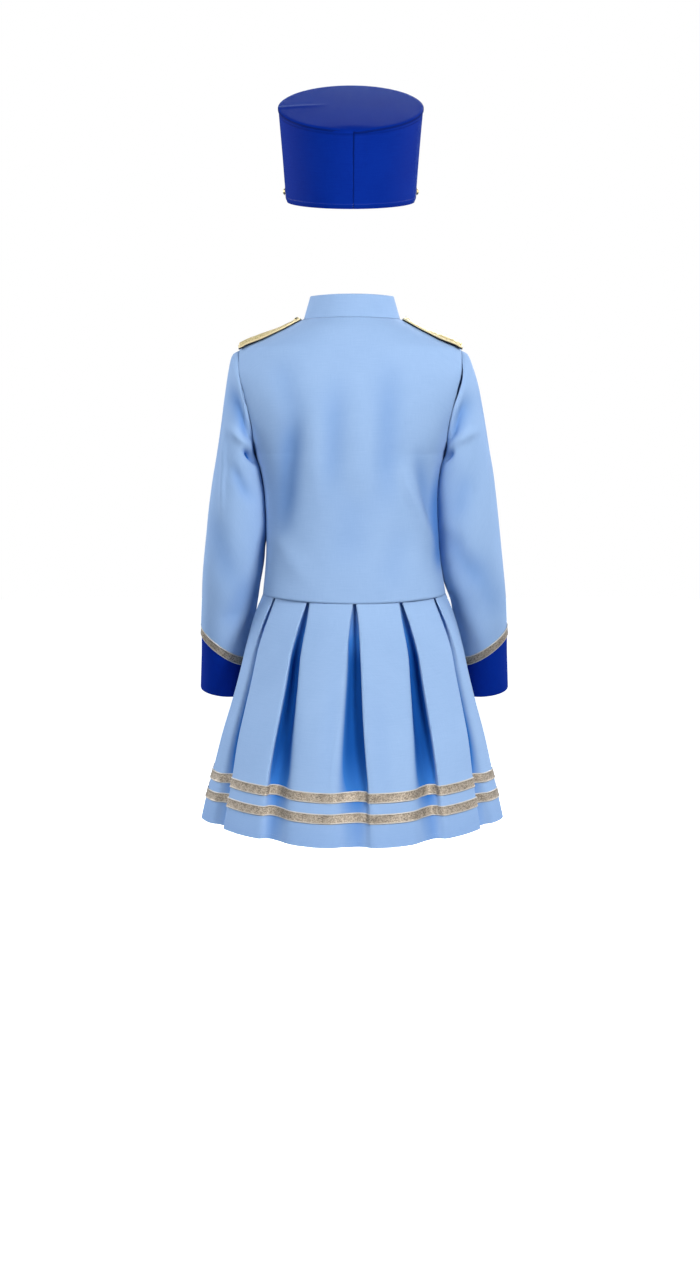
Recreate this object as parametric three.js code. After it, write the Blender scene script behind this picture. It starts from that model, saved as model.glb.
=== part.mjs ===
// A child's majorette costume: a dress with a pleated skirt, and a tall drum hat.
// Millimetres, Z up. The origin is the centre of the neck opening at the collar seam.
// The wearer faces +Y, so the back of the costume faces -Y and the wearer's right is +X.

import * as THREE from 'three';

// Cloth and seams
const CLOTH = 1.2; // wall of the dress cloth
const FIRM = 1.6; // wall of collar and cuffs, which are faced
const BRAID = 0.8; // thickness of the gold braid
const GAP = 0.3; // air left between two pieces at a seam
const BRAID_LIFT = 0.75; // air under the braid

// Bodice: half width, depth to the back and to the front at each height. round is the
// power of sine and cosine in the section: 1 is an ellipse, less squares it off
const BODICE = [
  { z: -349.7, half: 114, back: 88, front: 88, round: 0.9 },
  { z: -320, half: 110.5, back: 87, front: 88, round: 0.9 },
  { z: -285, half: 107.8, back: 86, front: 88, round: 0.9 },
  { z: -250, half: 107.3, back: 87, front: 89, round: 0.9 },
  { z: -217, half: 108.5, back: 89, front: 91, round: 0.9 },
  { z: -188, half: 113, back: 91, front: 93, round: 0.9 },
  { z: -168, half: 118, back: 92, front: 94, round: 0.9 },
  { z: -140, half: 120.3, back: 93, front: 94, round: 0.9 },
  { z: -118, half: 124.5, back: 93, front: 92, round: 0.9 },
  { z: -93, half: 131, back: 91.5, front: 88.5, round: 0.89 },
  { z: -65, half: 137, back: 86.5, front: 81.5, round: 0.86 },
  { z: -42, half: 137.5, back: 79.5, front: 73.5, round: 0.8 },
  { z: -29, half: 111.5, back: 73, front: 68, round: 0.76 },
  { z: -16, half: 85.5, back: 65, front: 62, round: 0.78 },
  { z: -3, half: 59.5, back: 54, front: 54, round: 0.9 },
];

// Armhole: an oval seen from the side, between armpit and shoulder tip
const ARMHOLE = { middle: -105, rise: 63, back: 46, front: 43 };
const SEAM = 0.2; // distance of each panel's edge from the plane of its seam

// Neck: how far the ring rises at the back and dips at the front
const NECK = { riseBack: 3, dipFront: 19, fadeFrom: -110, top: -3, round: 0.9 };
const OVERLAP = { half: 12, inset: 1.9 }; // centre front, right over left

// Soft folds of the bodice: from (x0, z0) to (x1, z1), depth in as a minus
const FOLDS = [
  { face: -1, x0: -66, z0: -128, x1: -96, z1: -255, wide: 15, deep: -3.5 },
  { face: -1, x0: -20, z0: -110, x1: -24, z1: -185, wide: 13, deep: -2.2 },
  { face: -1, x0: 48, z0: -100, x1: 47, z1: -192, wide: 14, deep: -2.4 },
  { face: -1, x0: 72, z0: -190, x1: 100, z1: -270, wide: 13, deep: 2.2 },
  { face: 1, x0: -62, z0: -120, x1: -82, z1: -235, wide: 16, deep: -2.6 },
  { face: 1, x0: 60, z0: -130, x1: 86, z1: -250, wide: 16, deep: -2.8 },
];

// Sway of the pose: how far the middle of the dress stands to the side at each height
const SWAY = [
  { z: -478, x: 3 },
  { z: -350, x: 3 },
  { z: -250, x: 0 },
  { z: -168, x: -2.5 },
  { z: -42, x: -2 },
  { z: 0, x: 0 },
];

// Sleeve: rings fanned round the armpit, each from its outer point to its inner point
const SLEEVE = [
  { xo: 137.9, zo: -42, xi: 118.4, zi: -168, y: 0, back: 46, front: 43 },
  { xo: 145, zo: -46, xi: 118.1, zi: -172, y: 0, back: 47, front: 44 },
  { xo: 152, zo: -66, xi: 116.4, zi: -178.5, y: 0, back: 47, front: 44 },
  { xo: 158.5, zo: -97, xi: 114, zi: -188, y: 0, back: 46, front: 44 },
  { xo: 165, zo: -135, xi: 111.9, zi: -203, y: 0, back: 44, front: 43 },
  { xo: 172, zo: -180, xi: 109.4, zi: -226, y: 1, back: 41.5, front: 41 },
  { xo: 178.5, zo: -232, xi: 108.6, zi: -258, y: 3, back: 39, front: 39 },
  { xo: 184, zo: -285, xi: 111, zi: -296, y: 8, back: 37, front: 37.5 },
  { xo: 188.8, zo: -335, xi: 118.2, zi: -338, y: 18, back: 35.5, front: 36 },
  { xo: 191.5, zo: -377, xi: 124.3, zi: -374, y: 31.5, back: 34.6, front: 34.6 },
];
const AROUND_ARM = 20;
const SEAM_BLEND = 3; // rings over which the armhole's own shape fades out

// Forearm and cuff: centre, half width and half depth at each height
const FOREARM = [
  { z: -485, x: 166.8, y: 69.5, wide: 29.2, deep: 31 },
  { z: -430, x: 163.5, y: 52, wide: 30, deep: 33 },
  { z: -392, x: 160, y: 37, wide: 32.3, deep: 34 },
  { z: -352, x: 154.5, y: 22, wide: 35.5, deep: 35.5 },
];
const CUFF_LINE = { middle: -410, swing: 22, lowest: 150 }; // slanted seam of the cuff
const CUFF_END = { middle: -471.5, side: 3, back: 6.5 }; // tilted lower edge
const CUFF_BRAID = 11.5;

// Skirt: twelve inverted box pleats. mouth and fold are shares of one pleat's pitch,
// inFold and inHeart are how far the cloth goes in at the fold and at the pleat's middle
const PLEATS = 12;
const SKIRT = [
  { t: 0, wide: 114, deep: 88, mouth: 0.02, fold: 0.36, inFold: 5, inHeart: 5 },
  { t: 0.08, wide: 121, deep: 93.5, mouth: 0.09, fold: 0.36, inFold: 8, inHeart: 8.6 },
  { t: 0.215, wide: 131.5, deep: 103, mouth: 0.18, fold: 0.33, inFold: 11, inHeart: 13 },
  { t: 0.34, wide: 140.5, deep: 112, mouth: 0.26, fold: 0.3, inFold: 12.5, inHeart: 17 },
  { t: 0.47, wide: 150.5, deep: 121, mouth: 0.34, fold: 0.26, inFold: 12, inHeart: 20 },
  { t: 0.62, wide: 163.5, deep: 132, mouth: 0.42, fold: 0.24, inFold: 11, inHeart: 20 },
  { t: 0.776, wide: 175.7, deep: 143.3, mouth: 0.475, fold: 0.26, inFold: 9.2, inHeart: 16.6 },
  { t: 0.819, wide: 178.8, deep: 146.3, mouth: 0.485, fold: 0.265, inFold: 8.8, inHeart: 15.5 },
  { t: 0.862, wide: 181.7, deep: 149.2, mouth: 0.49, fold: 0.27, inFold: 8.4, inHeart: 14.5 },
  { t: 0.904, wide: 184.6, deep: 152, mouth: 0.495, fold: 0.28, inFold: 7.9, inHeart: 13.5 },
  { t: 1, wide: 190.5, deep: 158, mouth: 0.5, fold: 0.3, inFold: 7, inHeart: 12 },
];
const SKIRT_TOP = -350;
const SKIRT_DROP = { side: 271, back: 20, front: 12 }; // height at the side, more elsewhere
const SKIRT_SHIFT = 3; // the waist stands to the side, the hem does not
const BANDS = [
  { name: 'skirt_braid_upper', from: 0.776, to: 0.819 },
  { name: 'skirt_braid_lower', from: 0.862, to: 0.904 },
];

// Collar: a stand that leans in, open at the centre front
const COLLAR = { height: 28, wideTop: 51.5, deepTop: 48, opening: 3.5 };

// Epaulettes: boards laid over the shoulder seam, from collar to shoulder tip
const BOARD = { xOut: 140.5, yBack: -24, yFront: 27, lift: 0.8 }; // lift: air under it
const BOARD_BASE = { xIn: 62, thick: 1, edge: 0 };
const BOARD_FACE = { xIn: 75, thick: 2.6, edge: 0.8 };

// Buttons: radius, height of the dome
const FRONT_BUTTONS = { count: 6, first: -48, last: -322, radius: 7, dome: 4 };
const BOARD_BUTTON = { x: 68.5, radius: 4.5, dome: 2.4 };

// Hat: a drum that widens upward, worn tipped back
const HAT = {
  x: -1.5,
  bottom: { y: 12, wide: 80, deep: 92, z: 141.7, tilt: 12.3 },
  top: { y: 2.5, wide: 89.2, deep: 96, z: 255, tilt: 33 },
  wall: 2,
  seam: 0.25,
  lid: 2,
  crown: 1.6,
  flat: 1.6,
};
const PEAK = { from: 32, to: 148, reach: 44, slope: 0.16, thick: 2, above: 3 };
const STRAP = { low: 8, high: 16, thick: 1, from: 7, to: 173 };
const HAT_BUTTON = { above: 12, radius: 4.4, dome: 2.6 };

const RAD = Math.PI / 180;

// Value of one column of a table at the height given, straight between rows
function look(table, key, at, column) {
  const rows = table[0][key] < table[table.length - 1][key] ? table : [...table].reverse();
  const last = rows.length - 1;
  const clamped = Math.min(Math.max(at, rows[0][key]), rows[last][key]);
  let i = 0;
  while (i < last - 1 && clamped > rows[i + 1][key]) i += 1;
  const share = (clamped - rows[i][key]) / (rows[i + 1][key] - rows[i][key]);
  return rows[i][column] + share * (rows[i + 1][column] - rows[i][column]);
}

function smooth(from, to, value) {
  const s = Math.min(Math.max((value - from) / (to - from), 0), 1);
  return s * s * (3 - 2 * s);
}

function bent(value, power) {
  return Math.sign(value) * Math.abs(value) ** power;
}

// Closed solid from an outer and an inner grid of points, rows by columns
function solid(outer, inner, closed) {
  const rows = outer.length;
  const columns = outer[0].length;
  const points = [...outer.flat(), ...inner.flat()];
  const far = rows * columns;
  const faces = [];
  const quad = (a, b, c, d) => faces.push(a, b, c, a, c, d);
  const spans = closed ? columns : columns - 1;
  for (let i = 0; i < rows - 1; i += 1) {
    for (let j = 0; j < spans; j += 1) {
      const k = (j + 1) % columns;
      const a = i * columns + j;
      const b = i * columns + k;
      const c = (i + 1) * columns + k;
      const d = (i + 1) * columns + j;
      quad(a, b, c, d);
      quad(far + d, far + c, far + b, far + a);
    }
    if (!closed) {
      const a = i * columns;
      const b = a + columns - 1;
      quad(a, a + columns, far + a + columns, far + a);
      quad(b + columns, b, far + b, far + b + columns);
    }
  }
  for (let j = 0; j < spans; j += 1) {
    const k = (j + 1) % columns;
    const last = (rows - 1) * columns;
    quad(j, far + j, far + k, k);
    quad(last + k, far + last + k, far + last + j, last + j);
  }
  return { points, faces };
}

// Directions square to a grid of points. Edges on a seam plane stay in that plane
function squareTo(grid, closed, flatEnds) {
  const rows = grid.length;
  const columns = grid[0].length;
  return grid.map((row, i) => row.map((point, j) => {
    const left = closed ? (j + columns - 1) % columns : Math.max(j - 1, 0);
    const right = closed ? (j + 1) % columns : Math.min(j + 1, columns - 1);
    const across = row[right].clone().sub(row[left]);
    const along = grid[Math.min(i + 1, rows - 1)][j].clone().sub(grid[Math.max(i - 1, 0)][j]);
    const out = across.cross(along);
    const onSeam = !closed && (j === 0 || j === columns - 1) && Math.abs(point.y) < 1;
    if (onSeam) out.y = 0;
    if (flatEnds[0] && i === 0) out.z = 0;
    if (flatEnds[1] && i === rows - 1) out.z = 0;
    return out.normalize();
  }));
}

function moved(grid, square, distance) {
  return grid.map((row, i) => row.map((p, j) => p.clone().addScaledVector(square[i][j], distance)));
}

// Cloth wall: the outer face is the grid, raised if it lies on another piece
function wall(grid, thickness, { closed = false, flatEnds = [false, false], raise = 0 } = {}) {
  const square = squareTo(grid, closed, flatEnds);
  return solid(moved(grid, square, raise), moved(grid, square, raise - thickness), closed);
}

// The same piece on the other side of the wearer
function mirrored(piece) {
  const points = piece.points.map((p) => new THREE.Vector3(-p.x, p.y, p.z));
  const faces = [];
  for (let i = 0; i < piece.faces.length; i += 3) {
    faces.push(piece.faces[i], piece.faces[i + 2], piece.faces[i + 1]);
  }
  return { points, faces };
}

function swayed(piece) {
  const points = piece.points.map((p) => (
    new THREE.Vector3(p.x + look(SWAY, 'z', p.z, 'x'), p.y, p.z)
  ));
  return { points, faces: piece.faces };
}

// Depth of the armhole's oval at a height, nothing outside it
function armholeDepth(z, face) {
  const share = (z - ARMHOLE.middle) / ARMHOLE.rise;
  const reach = face < 0 ? ARMHOLE.back : ARMHOLE.front;
  return Math.abs(share) < 1 ? reach * Math.sqrt(1 - share * share) : 0;
}

// How far a soft fold moves the cloth at a place on the bodice
function foldAt(x, z, face, facing) {
  let sum = 0;
  for (const fold of FOLDS) {
    const dx = fold.x1 - fold.x0;
    const dz = fold.z1 - fold.z0;
    const long = dx * dx + dz * dz;
    const s = ((x - fold.x0) * dx + (z - fold.z0) * dz) / long;
    const off = Math.abs((x - fold.x0) * dz - (z - fold.z0) * dx) / Math.sqrt(long);
    const ends = smooth(-0.25, 0.3, s) * (1 - smooth(0.6, 1.25, s));
    if (fold.face === face) sum += fold.deep * ends * Math.exp(-((off / fold.wide) ** 2));
  }
  return sum * smooth(0.1, 0.5, facing);
}

// A point of the bodice: height, angle from the centre line, face -1 back or 1 front
function bodiceShape(z, face) {
  const depth = look(BODICE, 'z', z, face < 0 ? 'back' : 'front');
  const edge = SEAM + armholeDepth(z, face);
  const round = look(BODICE, 'z', z, 'round');
  const turn = Math.acos((edge / depth) ** (1 / round));
  const wide = look(BODICE, 'z', z, 'half') / bent(Math.sin(turn), round);
  return { depth, turn, wide, round };
}

function bodicePoint(z, angle, face) {
  const shape = bodiceShape(z, face);
  const x = shape.wide * bent(Math.sin(angle), shape.round);
  const fade = smooth(NECK.fadeFrom, NECK.top, z) * Math.cos(angle) ** 2;
  const lift = face < 0 ? NECK.riseBack * fade : -NECK.dipFront * fade;
  const facing = Math.cos(angle);
  const depth = shape.depth * bent(facing, shape.round) + foldAt(x, z, face, facing);
  return new THREE.Vector3(x, face * depth, z + lift);
}

// Angle of a column: even over the middle, drawn in to the armhole near the edge
function columnAngle(share, turn) {
  const even = (share * Math.PI) / 2;
  return even - Math.sign(share) * (Math.PI / 2 - turn) * smooth(0.35, 1, Math.abs(share));
}

// Heights of the bodice's rows, close together where the armhole's oval turns
function bodiceHeights() {
  const heights = [-349.7, -315, -280, -245, -215, -188];
  const steps = AROUND_ARM / 2;
  for (let i = 0; i <= steps; i += 1) {
    heights.push(ARMHOLE.middle - ARMHOLE.rise * Math.cos((Math.PI * i) / steps));
  }
  return [...heights, -29, -16, NECK.top];
}

function backPanel() {
  const columns = 16;
  const grid = bodiceHeights().map((z) => {
    const { turn } = bodiceShape(z, -1);
    const row = [];
    for (let j = 0; j <= columns; j += 1) {
      row.push(bodicePoint(z, columnAngle((2 * j) / columns - 1, turn), -1));
    }
    return row;
  });
  return wall(grid, CLOTH, { flatEnds: [true, false] });
}

// Both fronts share their columns at the overlap. The left one dips under the right
function frontPanel(side) {
  const columns = 6;
  const grid = bodiceHeights().map((z) => {
    const { turn, wide, round } = bodiceShape(z, 1);
    const first = Math.asin((OVERLAP.half / wide) ** (1 / round));
    const edge = first / (Math.PI / 2);
    const angles = [-first, 0, first];
    for (let j = 1; j <= columns; j += 1) {
      angles.push(columnAngle(edge + ((1 - edge) * j) / columns, turn));
    }
    const row = angles.map((angle) => bodicePoint(z, angle * side, 1));
    if (side < 0) row.slice(0, 3).forEach((p) => { p.y -= OVERLAP.inset; });
    return side < 0 ? row : row.reverse();
  });
  return wall(grid, CLOTH, { flatEnds: [true, false] });
}

function collar() {
  const columns = 24;
  const rows = 2;
  const grid = [];
  for (let i = 0; i <= rows; i += 1) {
    const up = i / rows;
    const row = [];
    for (let j = 0; j <= columns; j += 1) {
      const open = COLLAR.opening;
      const angle = (90 + open + ((360 - 2 * open) * j) / columns) * RAD;
      const wide = 59.5 + (COLLAR.wideTop - 59.5) * up;
      const deep = 54 + (COLLAR.deepTop - 54) * up;
      const sine = Math.sin(angle);
      const lift = sine < 0 ? NECK.riseBack * sine * sine : -NECK.dipFront * sine * sine;
      const z = NECK.top + lift + GAP + 0.4 + COLLAR.height * up;
      const x = wide * bent(Math.cos(angle), NECK.round);
      row.push(new THREE.Vector3(x, deep * bent(sine, NECK.round), z));
    }
    grid.push(row);
  }
  return wall(grid, FIRM, { flatEnds: [true, true] });
}

// Angle round the arm: 0 outside, 90 back, 180 against the body, 270 front
function armholePoint(angle) {
  const z = ARMHOLE.middle + ARMHOLE.rise * Math.cos(angle);
  const sine = Math.sin(angle);
  const y = sine > 0 ? -ARMHOLE.back * sine : -ARMHOLE.front * sine;
  return new THREE.Vector3(look(BODICE, 'z', z, 'half') + 0.5, y, z);
}

function sleeveRingPoint(ring, angle) {
  const cosine = Math.cos(angle);
  const sine = Math.sin(angle);
  const x = (ring.xo + ring.xi) / 2 + ((ring.xo - ring.xi) / 2) * cosine;
  const z = (ring.zo + ring.zi) / 2 + ((ring.zo - ring.zi) / 2) * cosine;
  const y = ring.y - (sine > 0 ? ring.back : ring.front) * sine;
  return new THREE.Vector3(x, y, z);
}

function forearmPoint(z, angle) {
  const x = look(FOREARM, 'z', z, 'x') + look(FOREARM, 'z', z, 'wide') * Math.cos(angle);
  const y = look(FOREARM, 'z', z, 'y') - look(FOREARM, 'z', z, 'deep') * Math.sin(angle);
  return new THREE.Vector3(x, y, z);
}

function armAngles() {
  return Array.from({ length: AROUND_ARM }, (_, j) => (2 * Math.PI * j) / AROUND_ARM);
}

function cuffLine(angle) {
  return CUFF_LINE.middle - CUFF_LINE.swing * Math.cos(angle - CUFF_LINE.lowest * RAD);
}

function cuffEnd(angle) {
  return CUFF_END.middle + CUFF_END.side * Math.cos(angle) - CUFF_END.back * Math.sin(angle);
}

function sleeve() {
  const grid = SLEEVE.map((ring, i) => armAngles().map((angle) => {
    const share = Math.max(0, 1 - i / SEAM_BLEND);
    const own = armholePoint(angle).sub(sleeveRingPoint(SLEEVE[0], angle));
    return sleeveRingPoint(ring, angle).addScaledVector(own, share);
  }));
  grid.push(armAngles().map((angle) => forearmPoint(cuffLine(angle) + CUFF_BRAID / 2, angle)));
  grid.push(armAngles().map((angle) => forearmPoint(cuffLine(angle) + GAP, angle)));
  return wall(grid, CLOTH, { closed: true, flatEnds: [false, true] });
}

function cuff() {
  const below = [GAP, CUFF_BRAID / 2];
  const grid = below.map((d) => armAngles().map((a) => forearmPoint(cuffLine(a) - d, a)));
  for (const share of [0.5, 1]) {
    grid.push(armAngles().map((angle) => {
      const from = cuffLine(angle) - CUFF_BRAID / 2;
      return forearmPoint(from + (cuffEnd(angle) - from) * share, angle);
    }));
  }
  return wall(grid, FIRM, { closed: true, flatEnds: [true, true] });
}

function cuffBraid() {
  const heights = [CUFF_BRAID / 2, 0, -CUFF_BRAID / 2];
  const grid = heights.map((d) => armAngles().map((a) => forearmPoint(cuffLine(a) + d, a)));
  return wall(grid, BRAID, { closed: true, flatEnds: [true, true], raise: BRAID_LIFT + BRAID });
}

// One ring of the skirt at share t of its length, six points to a pleat
function skirtRing(t) {
  const size = (column) => look(SKIRT, 't', t, column);
  const step = (2 * Math.PI) / PLEATS;
  const mouth = size('mouth') / 2;
  const stations = [
    { at: 0, inward: size('inHeart') },
    { at: size('fold') / 2, inward: size('inFold') },
    { at: mouth, inward: 0 },
    { at: 0.5, inward: -1.2 * t },
    { at: 1 - mouth, inward: 0 },
    { at: 1 - size('fold') / 2, inward: size('inFold') },
  ];
  const ring = [];
  for (let k = 0; k < PLEATS; k += 1) {
    for (const station of stations) {
      const angle = -Math.PI / 2 + (k + station.at) * step;
      const sine = Math.sin(angle);
      const drop = sine < 0 ? SKIRT_DROP.back : SKIRT_DROP.front;
      const x = (size('wide') - station.inward) * Math.cos(angle);
      const y = (size('deep') - station.inward) * sine;
      const z = SKIRT_TOP - (SKIRT_DROP.side + drop * sine * sine) * t;
      ring.push(new THREE.Vector3(x + SKIRT_SHIFT * Math.max(0, 1 - 2 * t), y, z));
    }
  }
  return ring;
}

// A ring moved square to itself in plan, with its corners mitred
function offsetRing(ring, distance) {
  const count = ring.length;
  return ring.map((point, j) => {
    const before = ring[(j + count - 1) % count];
    const after = ring[(j + 1) % count];
    const one = new THREE.Vector2(point.y - before.y, before.x - point.x).normalize();
    const two = new THREE.Vector2(after.y - point.y, point.x - after.x).normalize();
    const sum = one.clone().add(two);
    const mitre = Math.min(1 / Math.max(0.5 * sum.length(), 0.01), 3);
    sum.normalize().multiplyScalar(mitre * distance);
    return new THREE.Vector3(point.x + sum.x, point.y + sum.y, point.z);
  });
}

function ringWall(rings, from, to) {
  const outer = rings.map((ring) => offsetRing(ring, to));
  const inner = rings.map((ring) => offsetRing(ring, from));
  return solid(outer.reverse(), inner.reverse(), true);
}

// Height of the shoulder over a place in plan, found by halving
function shoulderHeight(x, y) {
  const face = y < 0 ? -1 : 1;
  let low = -75;
  let high = NECK.top;
  for (let i = 0; i < 30; i += 1) {
    const z = (low + high) / 2;
    const shape = bodiceShape(z, face);
    const power = 2 / shape.round;
    const sum = (Math.abs(x) / shape.wide) ** power + (Math.abs(y) / shape.depth) ** power;
    if (sum > 1) high = z;
    else low = z;
  }
  const { depth, round } = bodiceShape(low, face);
  const facing = (Math.abs(y) / depth) ** (1 / round);
  const fade = smooth(NECK.fadeFrom, NECK.top, low) * facing ** 2;
  return low + fade * (face < 0 ? NECK.riseBack : -NECK.dipFront);
}

// One layer of the stiff board over the shoulder, narrower at the collar end
function board({ xIn, thick, edge }, raise) {
  const long = 6;
  const across = 6;
  const grid = [];
  for (let i = 0; i <= long; i += 1) {
    const x = xIn + (BOARD.xOut - edge - xIn) * (i / long);
    const s = (x - BOARD_BASE.xIn) / (BOARD.xOut - BOARD_BASE.xIn);
    const ease = Math.sqrt(Math.min(1, 0.25 + 2.5 * s));
    const row = [];
    for (let j = 0; j <= across; j += 1) {
      const side = 1 - (2 * j) / across;
      const reach = side < 0 ? BOARD.yBack + edge : BOARD.yFront - edge;
      const y = Math.abs(side) * reach * ease;
      const near = Math.min(x, 132);
      const z = shoulderHeight(near, y) - (x - near) * 0.5;
      row.push(new THREE.Vector3(x, y, z + 2 * s * s));
    }
    grid.push(row);
  }
  return wall(grid, thick, { raise: raise + thick });
}

// Domed button with its foot at a point, standing along a direction
function button(foot, direction, radius, dome) {
  const around = 10;
  const up = direction.clone().normalize();
  const turn = new THREE.Quaternion().setFromUnitVectors(new THREE.Vector3(0, 0, 1), up);
  const profile = [
    { r: radius, h: 0 },
    { r: radius, h: 0.3 * dome },
    { r: 0.72 * radius, h: 0.8 * dome },
  ];
  const points = [new THREE.Vector3(0, 0, 0)];
  for (const ring of profile) {
    for (let j = 0; j < around; j += 1) {
      const a = (2 * Math.PI * j) / around;
      points.push(new THREE.Vector3(ring.r * Math.cos(a), ring.r * Math.sin(a), ring.h));
    }
  }
  points.push(new THREE.Vector3(0, 0, dome));
  const faces = [];
  for (let j = 0; j < around; j += 1) {
    const k = (j + 1) % around;
    faces.push(0, 1 + k, 1 + j);
    for (let i = 0; i < profile.length - 1; i += 1) {
      const a = 1 + i * around;
      const b = a + around;
      faces.push(a + j, a + k, b + k, a + j, b + k, b + j);
    }
    const last = 1 + (profile.length - 1) * around;
    faces.push(last + j, last + k, points.length - 1);
  }
  points.forEach((p) => p.applyQuaternion(turn).add(foot));
  return { points, faces };
}

// A point of the hat's drum: angle round it, share of its height
function hatPoint(angle, up, inset = 0) {
  const size = (key) => HAT.bottom[key] + (HAT.top[key] - HAT.bottom[key]) * up;
  const sine = Math.sin(angle);
  const off = (angle / RAD + 90) / 13;
  const dent = HAT.flat * up * up * Math.exp(-off * off);
  const deep = size('deep') - inset;
  const x = HAT.x + (size('wide') - inset) * Math.cos(angle);
  const z = size('z') + (size('tilt') * (deep * sine + dent)) / size('deep');
  return new THREE.Vector3(x, size('y') + deep * sine + dent, z);
}

// A point on the drum at a height above its lower edge
function hatAbove(angle, above) {
  const tall = HAT.top.z - HAT.bottom.z + (HAT.top.tilt - HAT.bottom.tilt) * Math.sin(angle);
  return hatPoint(angle, above / tall);
}

function hatSide() {
  const columns = 32;
  const slit = HAT.seam / 95;
  const layer = (inset) => [0, 0.12, 0.5, 1].map((up) => {
    const row = [];
    for (let j = 0; j <= columns; j += 1) {
      const angle = -Math.PI / 2 + slit + ((2 * Math.PI - 2 * slit) * j) / columns;
      row.push(hatPoint(angle, up, inset));
    }
    return row;
  });
  return solid(layer(0), layer(HAT.wall), false);
}

// Lid over the drum, a little crowned, with its edge just proud of the side
function hatTop() {
  const columns = 32;
  const shares = [0.4, 0.75, 1];
  const layer = (lift, grow) => shares.map((share) => {
    const row = [];
    for (let j = 0; j < columns; j += 1) {
      const edge = hatPoint(-Math.PI / 2 + (2 * Math.PI * j) / columns, 1);
      const centre = new THREE.Vector3(HAT.x, HAT.top.y, HAT.top.z);
      const p = centre.lerp(edge, share * grow);
      p.z += 0.5 + lift + HAT.crown * (1 - share * share);
      row.push(p);
    }
    return row.reverse();
  });
  return plate(layer(HAT.lid, 1.008), layer(0, 1.008));
}

// Round plate: the smallest ring of each face is closed over its middle
function plate(top, bottom) {
  const rings = top.length;
  const columns = top[0].length;
  const points = [...top.flat(), ...bottom.flat()];
  const far = rings * columns;
  const faces = [];
  const middle = (row) => row.reduce((sum, p) => sum.add(p), new THREE.Vector3()).divideScalar(columns);
  points.push(middle(top[0]), middle(bottom[0]));
  const hub = 2 * far;
  for (let j = 0; j < columns; j += 1) {
    const k = (j + 1) % columns;
    for (let i = 0; i < rings - 1; i += 1) {
      const a = i * columns;
      const b = a + columns;
      faces.push(a + j, a + k, b + k, a + j, b + k, b + j);
      faces.push(far + a + k, far + a + j, far + b + j, far + a + k, far + b + j, far + b + k);
    }
    const rim = (rings - 1) * columns;
    faces.push(rim + j, rim + k, far + rim + k, rim + j, far + rim + k, far + rim + j);
    faces.push(hub, k, j);
    faces.push(hub + 1, far + j, far + k);
  }
  return { points, faces };
}

function hatPeak() {
  const columns = 14;
  const rows = 3;
  const grid = [];
  for (let i = 0; i <= rows; i += 1) {
    const row = [];
    for (let j = 0; j <= columns; j += 1) {
      const share = j / columns;
      const angle = (PEAK.from + (PEAK.to - PEAK.from) * share) * RAD;
      const reach = 4 + (PEAK.reach - 4) * Math.sin(Math.PI * share) ** 0.75;
      const foot = hatAbove(angle, PEAK.above);
      const out = new THREE.Vector3(Math.cos(angle) * 0.8, Math.sin(angle), 0).normalize();
      const away = 1.2 + (reach * i) / rows;
      const fall = PEAK.slope * away + 0.002 * away * away;
      row.push(foot.addScaledVector(out, away).add(new THREE.Vector3(0, 0, -fall)));
    }
    grid.push(row);
  }
  return wall(grid.map((row) => row.reverse()), PEAK.thick, { raise: PEAK.thick / 2 });
}

function hatStrap() {
  const columns = 16;
  const grid = [STRAP.low, STRAP.high].map((above) => {
    const row = [];
    for (let j = 0; j <= columns; j += 1) {
      const angle = (STRAP.from + ((STRAP.to - STRAP.from) * j) / columns) * RAD;
      row.push(hatAbove(angle, above));
    }
    return row;
  });
  return wall(grid, STRAP.thick, { raise: 0.8 + STRAP.thick });
}

const COLOURS = {
  sky: { color: 0x8fb2e0, roughness: 0.85, metalness: 0 },
  royal: { color: 0x0a2f96, roughness: 0.8, metalness: 0 },
  gold: { color: 0xb79a62, roughness: 0.4, metalness: 0.8 },
  yellow: { color: 0xd9bb62, roughness: 0.5, metalness: 0.6 },
  navy: { color: 0x141a30, roughness: 0.9, metalness: 0 },
};

const costume = new THREE.Group();
costume.name = 'majorette_costume';

function add(name, piece, colour) {
  const geometry = new THREE.BufferGeometry();
  geometry.setAttribute('position', new THREE.Float32BufferAttribute(
    piece.points.flatMap((p) => [p.x, p.y, p.z]),
    3,
  ));
  geometry.setIndex(piece.faces);
  geometry.computeVertexNormals();
  const material = new THREE.MeshStandardMaterial({ ...COLOURS[colour], name: colour });
  const mesh = new THREE.Mesh(geometry, material);
  mesh.name = name;
  costume.add(mesh);
}

// Bodice and collar
add('bodice_back', swayed(backPanel()), 'sky');
add('bodice_front_right', swayed(frontPanel(1)), 'sky');
add('bodice_front_left', swayed(frontPanel(-1)), 'sky');
add('collar', collar(), 'sky');

// Sleeves, cuffs and their braid
for (const side of ['right', 'left']) {
  const place = (piece) => swayed(side === 'right' ? piece : mirrored(piece));
  add(`sleeve_${side}`, place(sleeve()), 'sky');
  add(`cuff_${side}`, place(cuff()), 'royal');
  add(`cuff_braid_${side}`, place(cuffBraid()), 'gold');
}

// Skirt and its two rows of braid
add('skirt', ringWall(SKIRT.map((row) => skirtRing(row.t)), -CLOTH, 0), 'sky');
for (const band of BANDS) {
  const rings = [skirtRing(band.from), skirtRing(band.to)];
  add(band.name, ringWall(rings, BRAID_LIFT, BRAID_LIFT + BRAID), 'gold');
}

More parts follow.
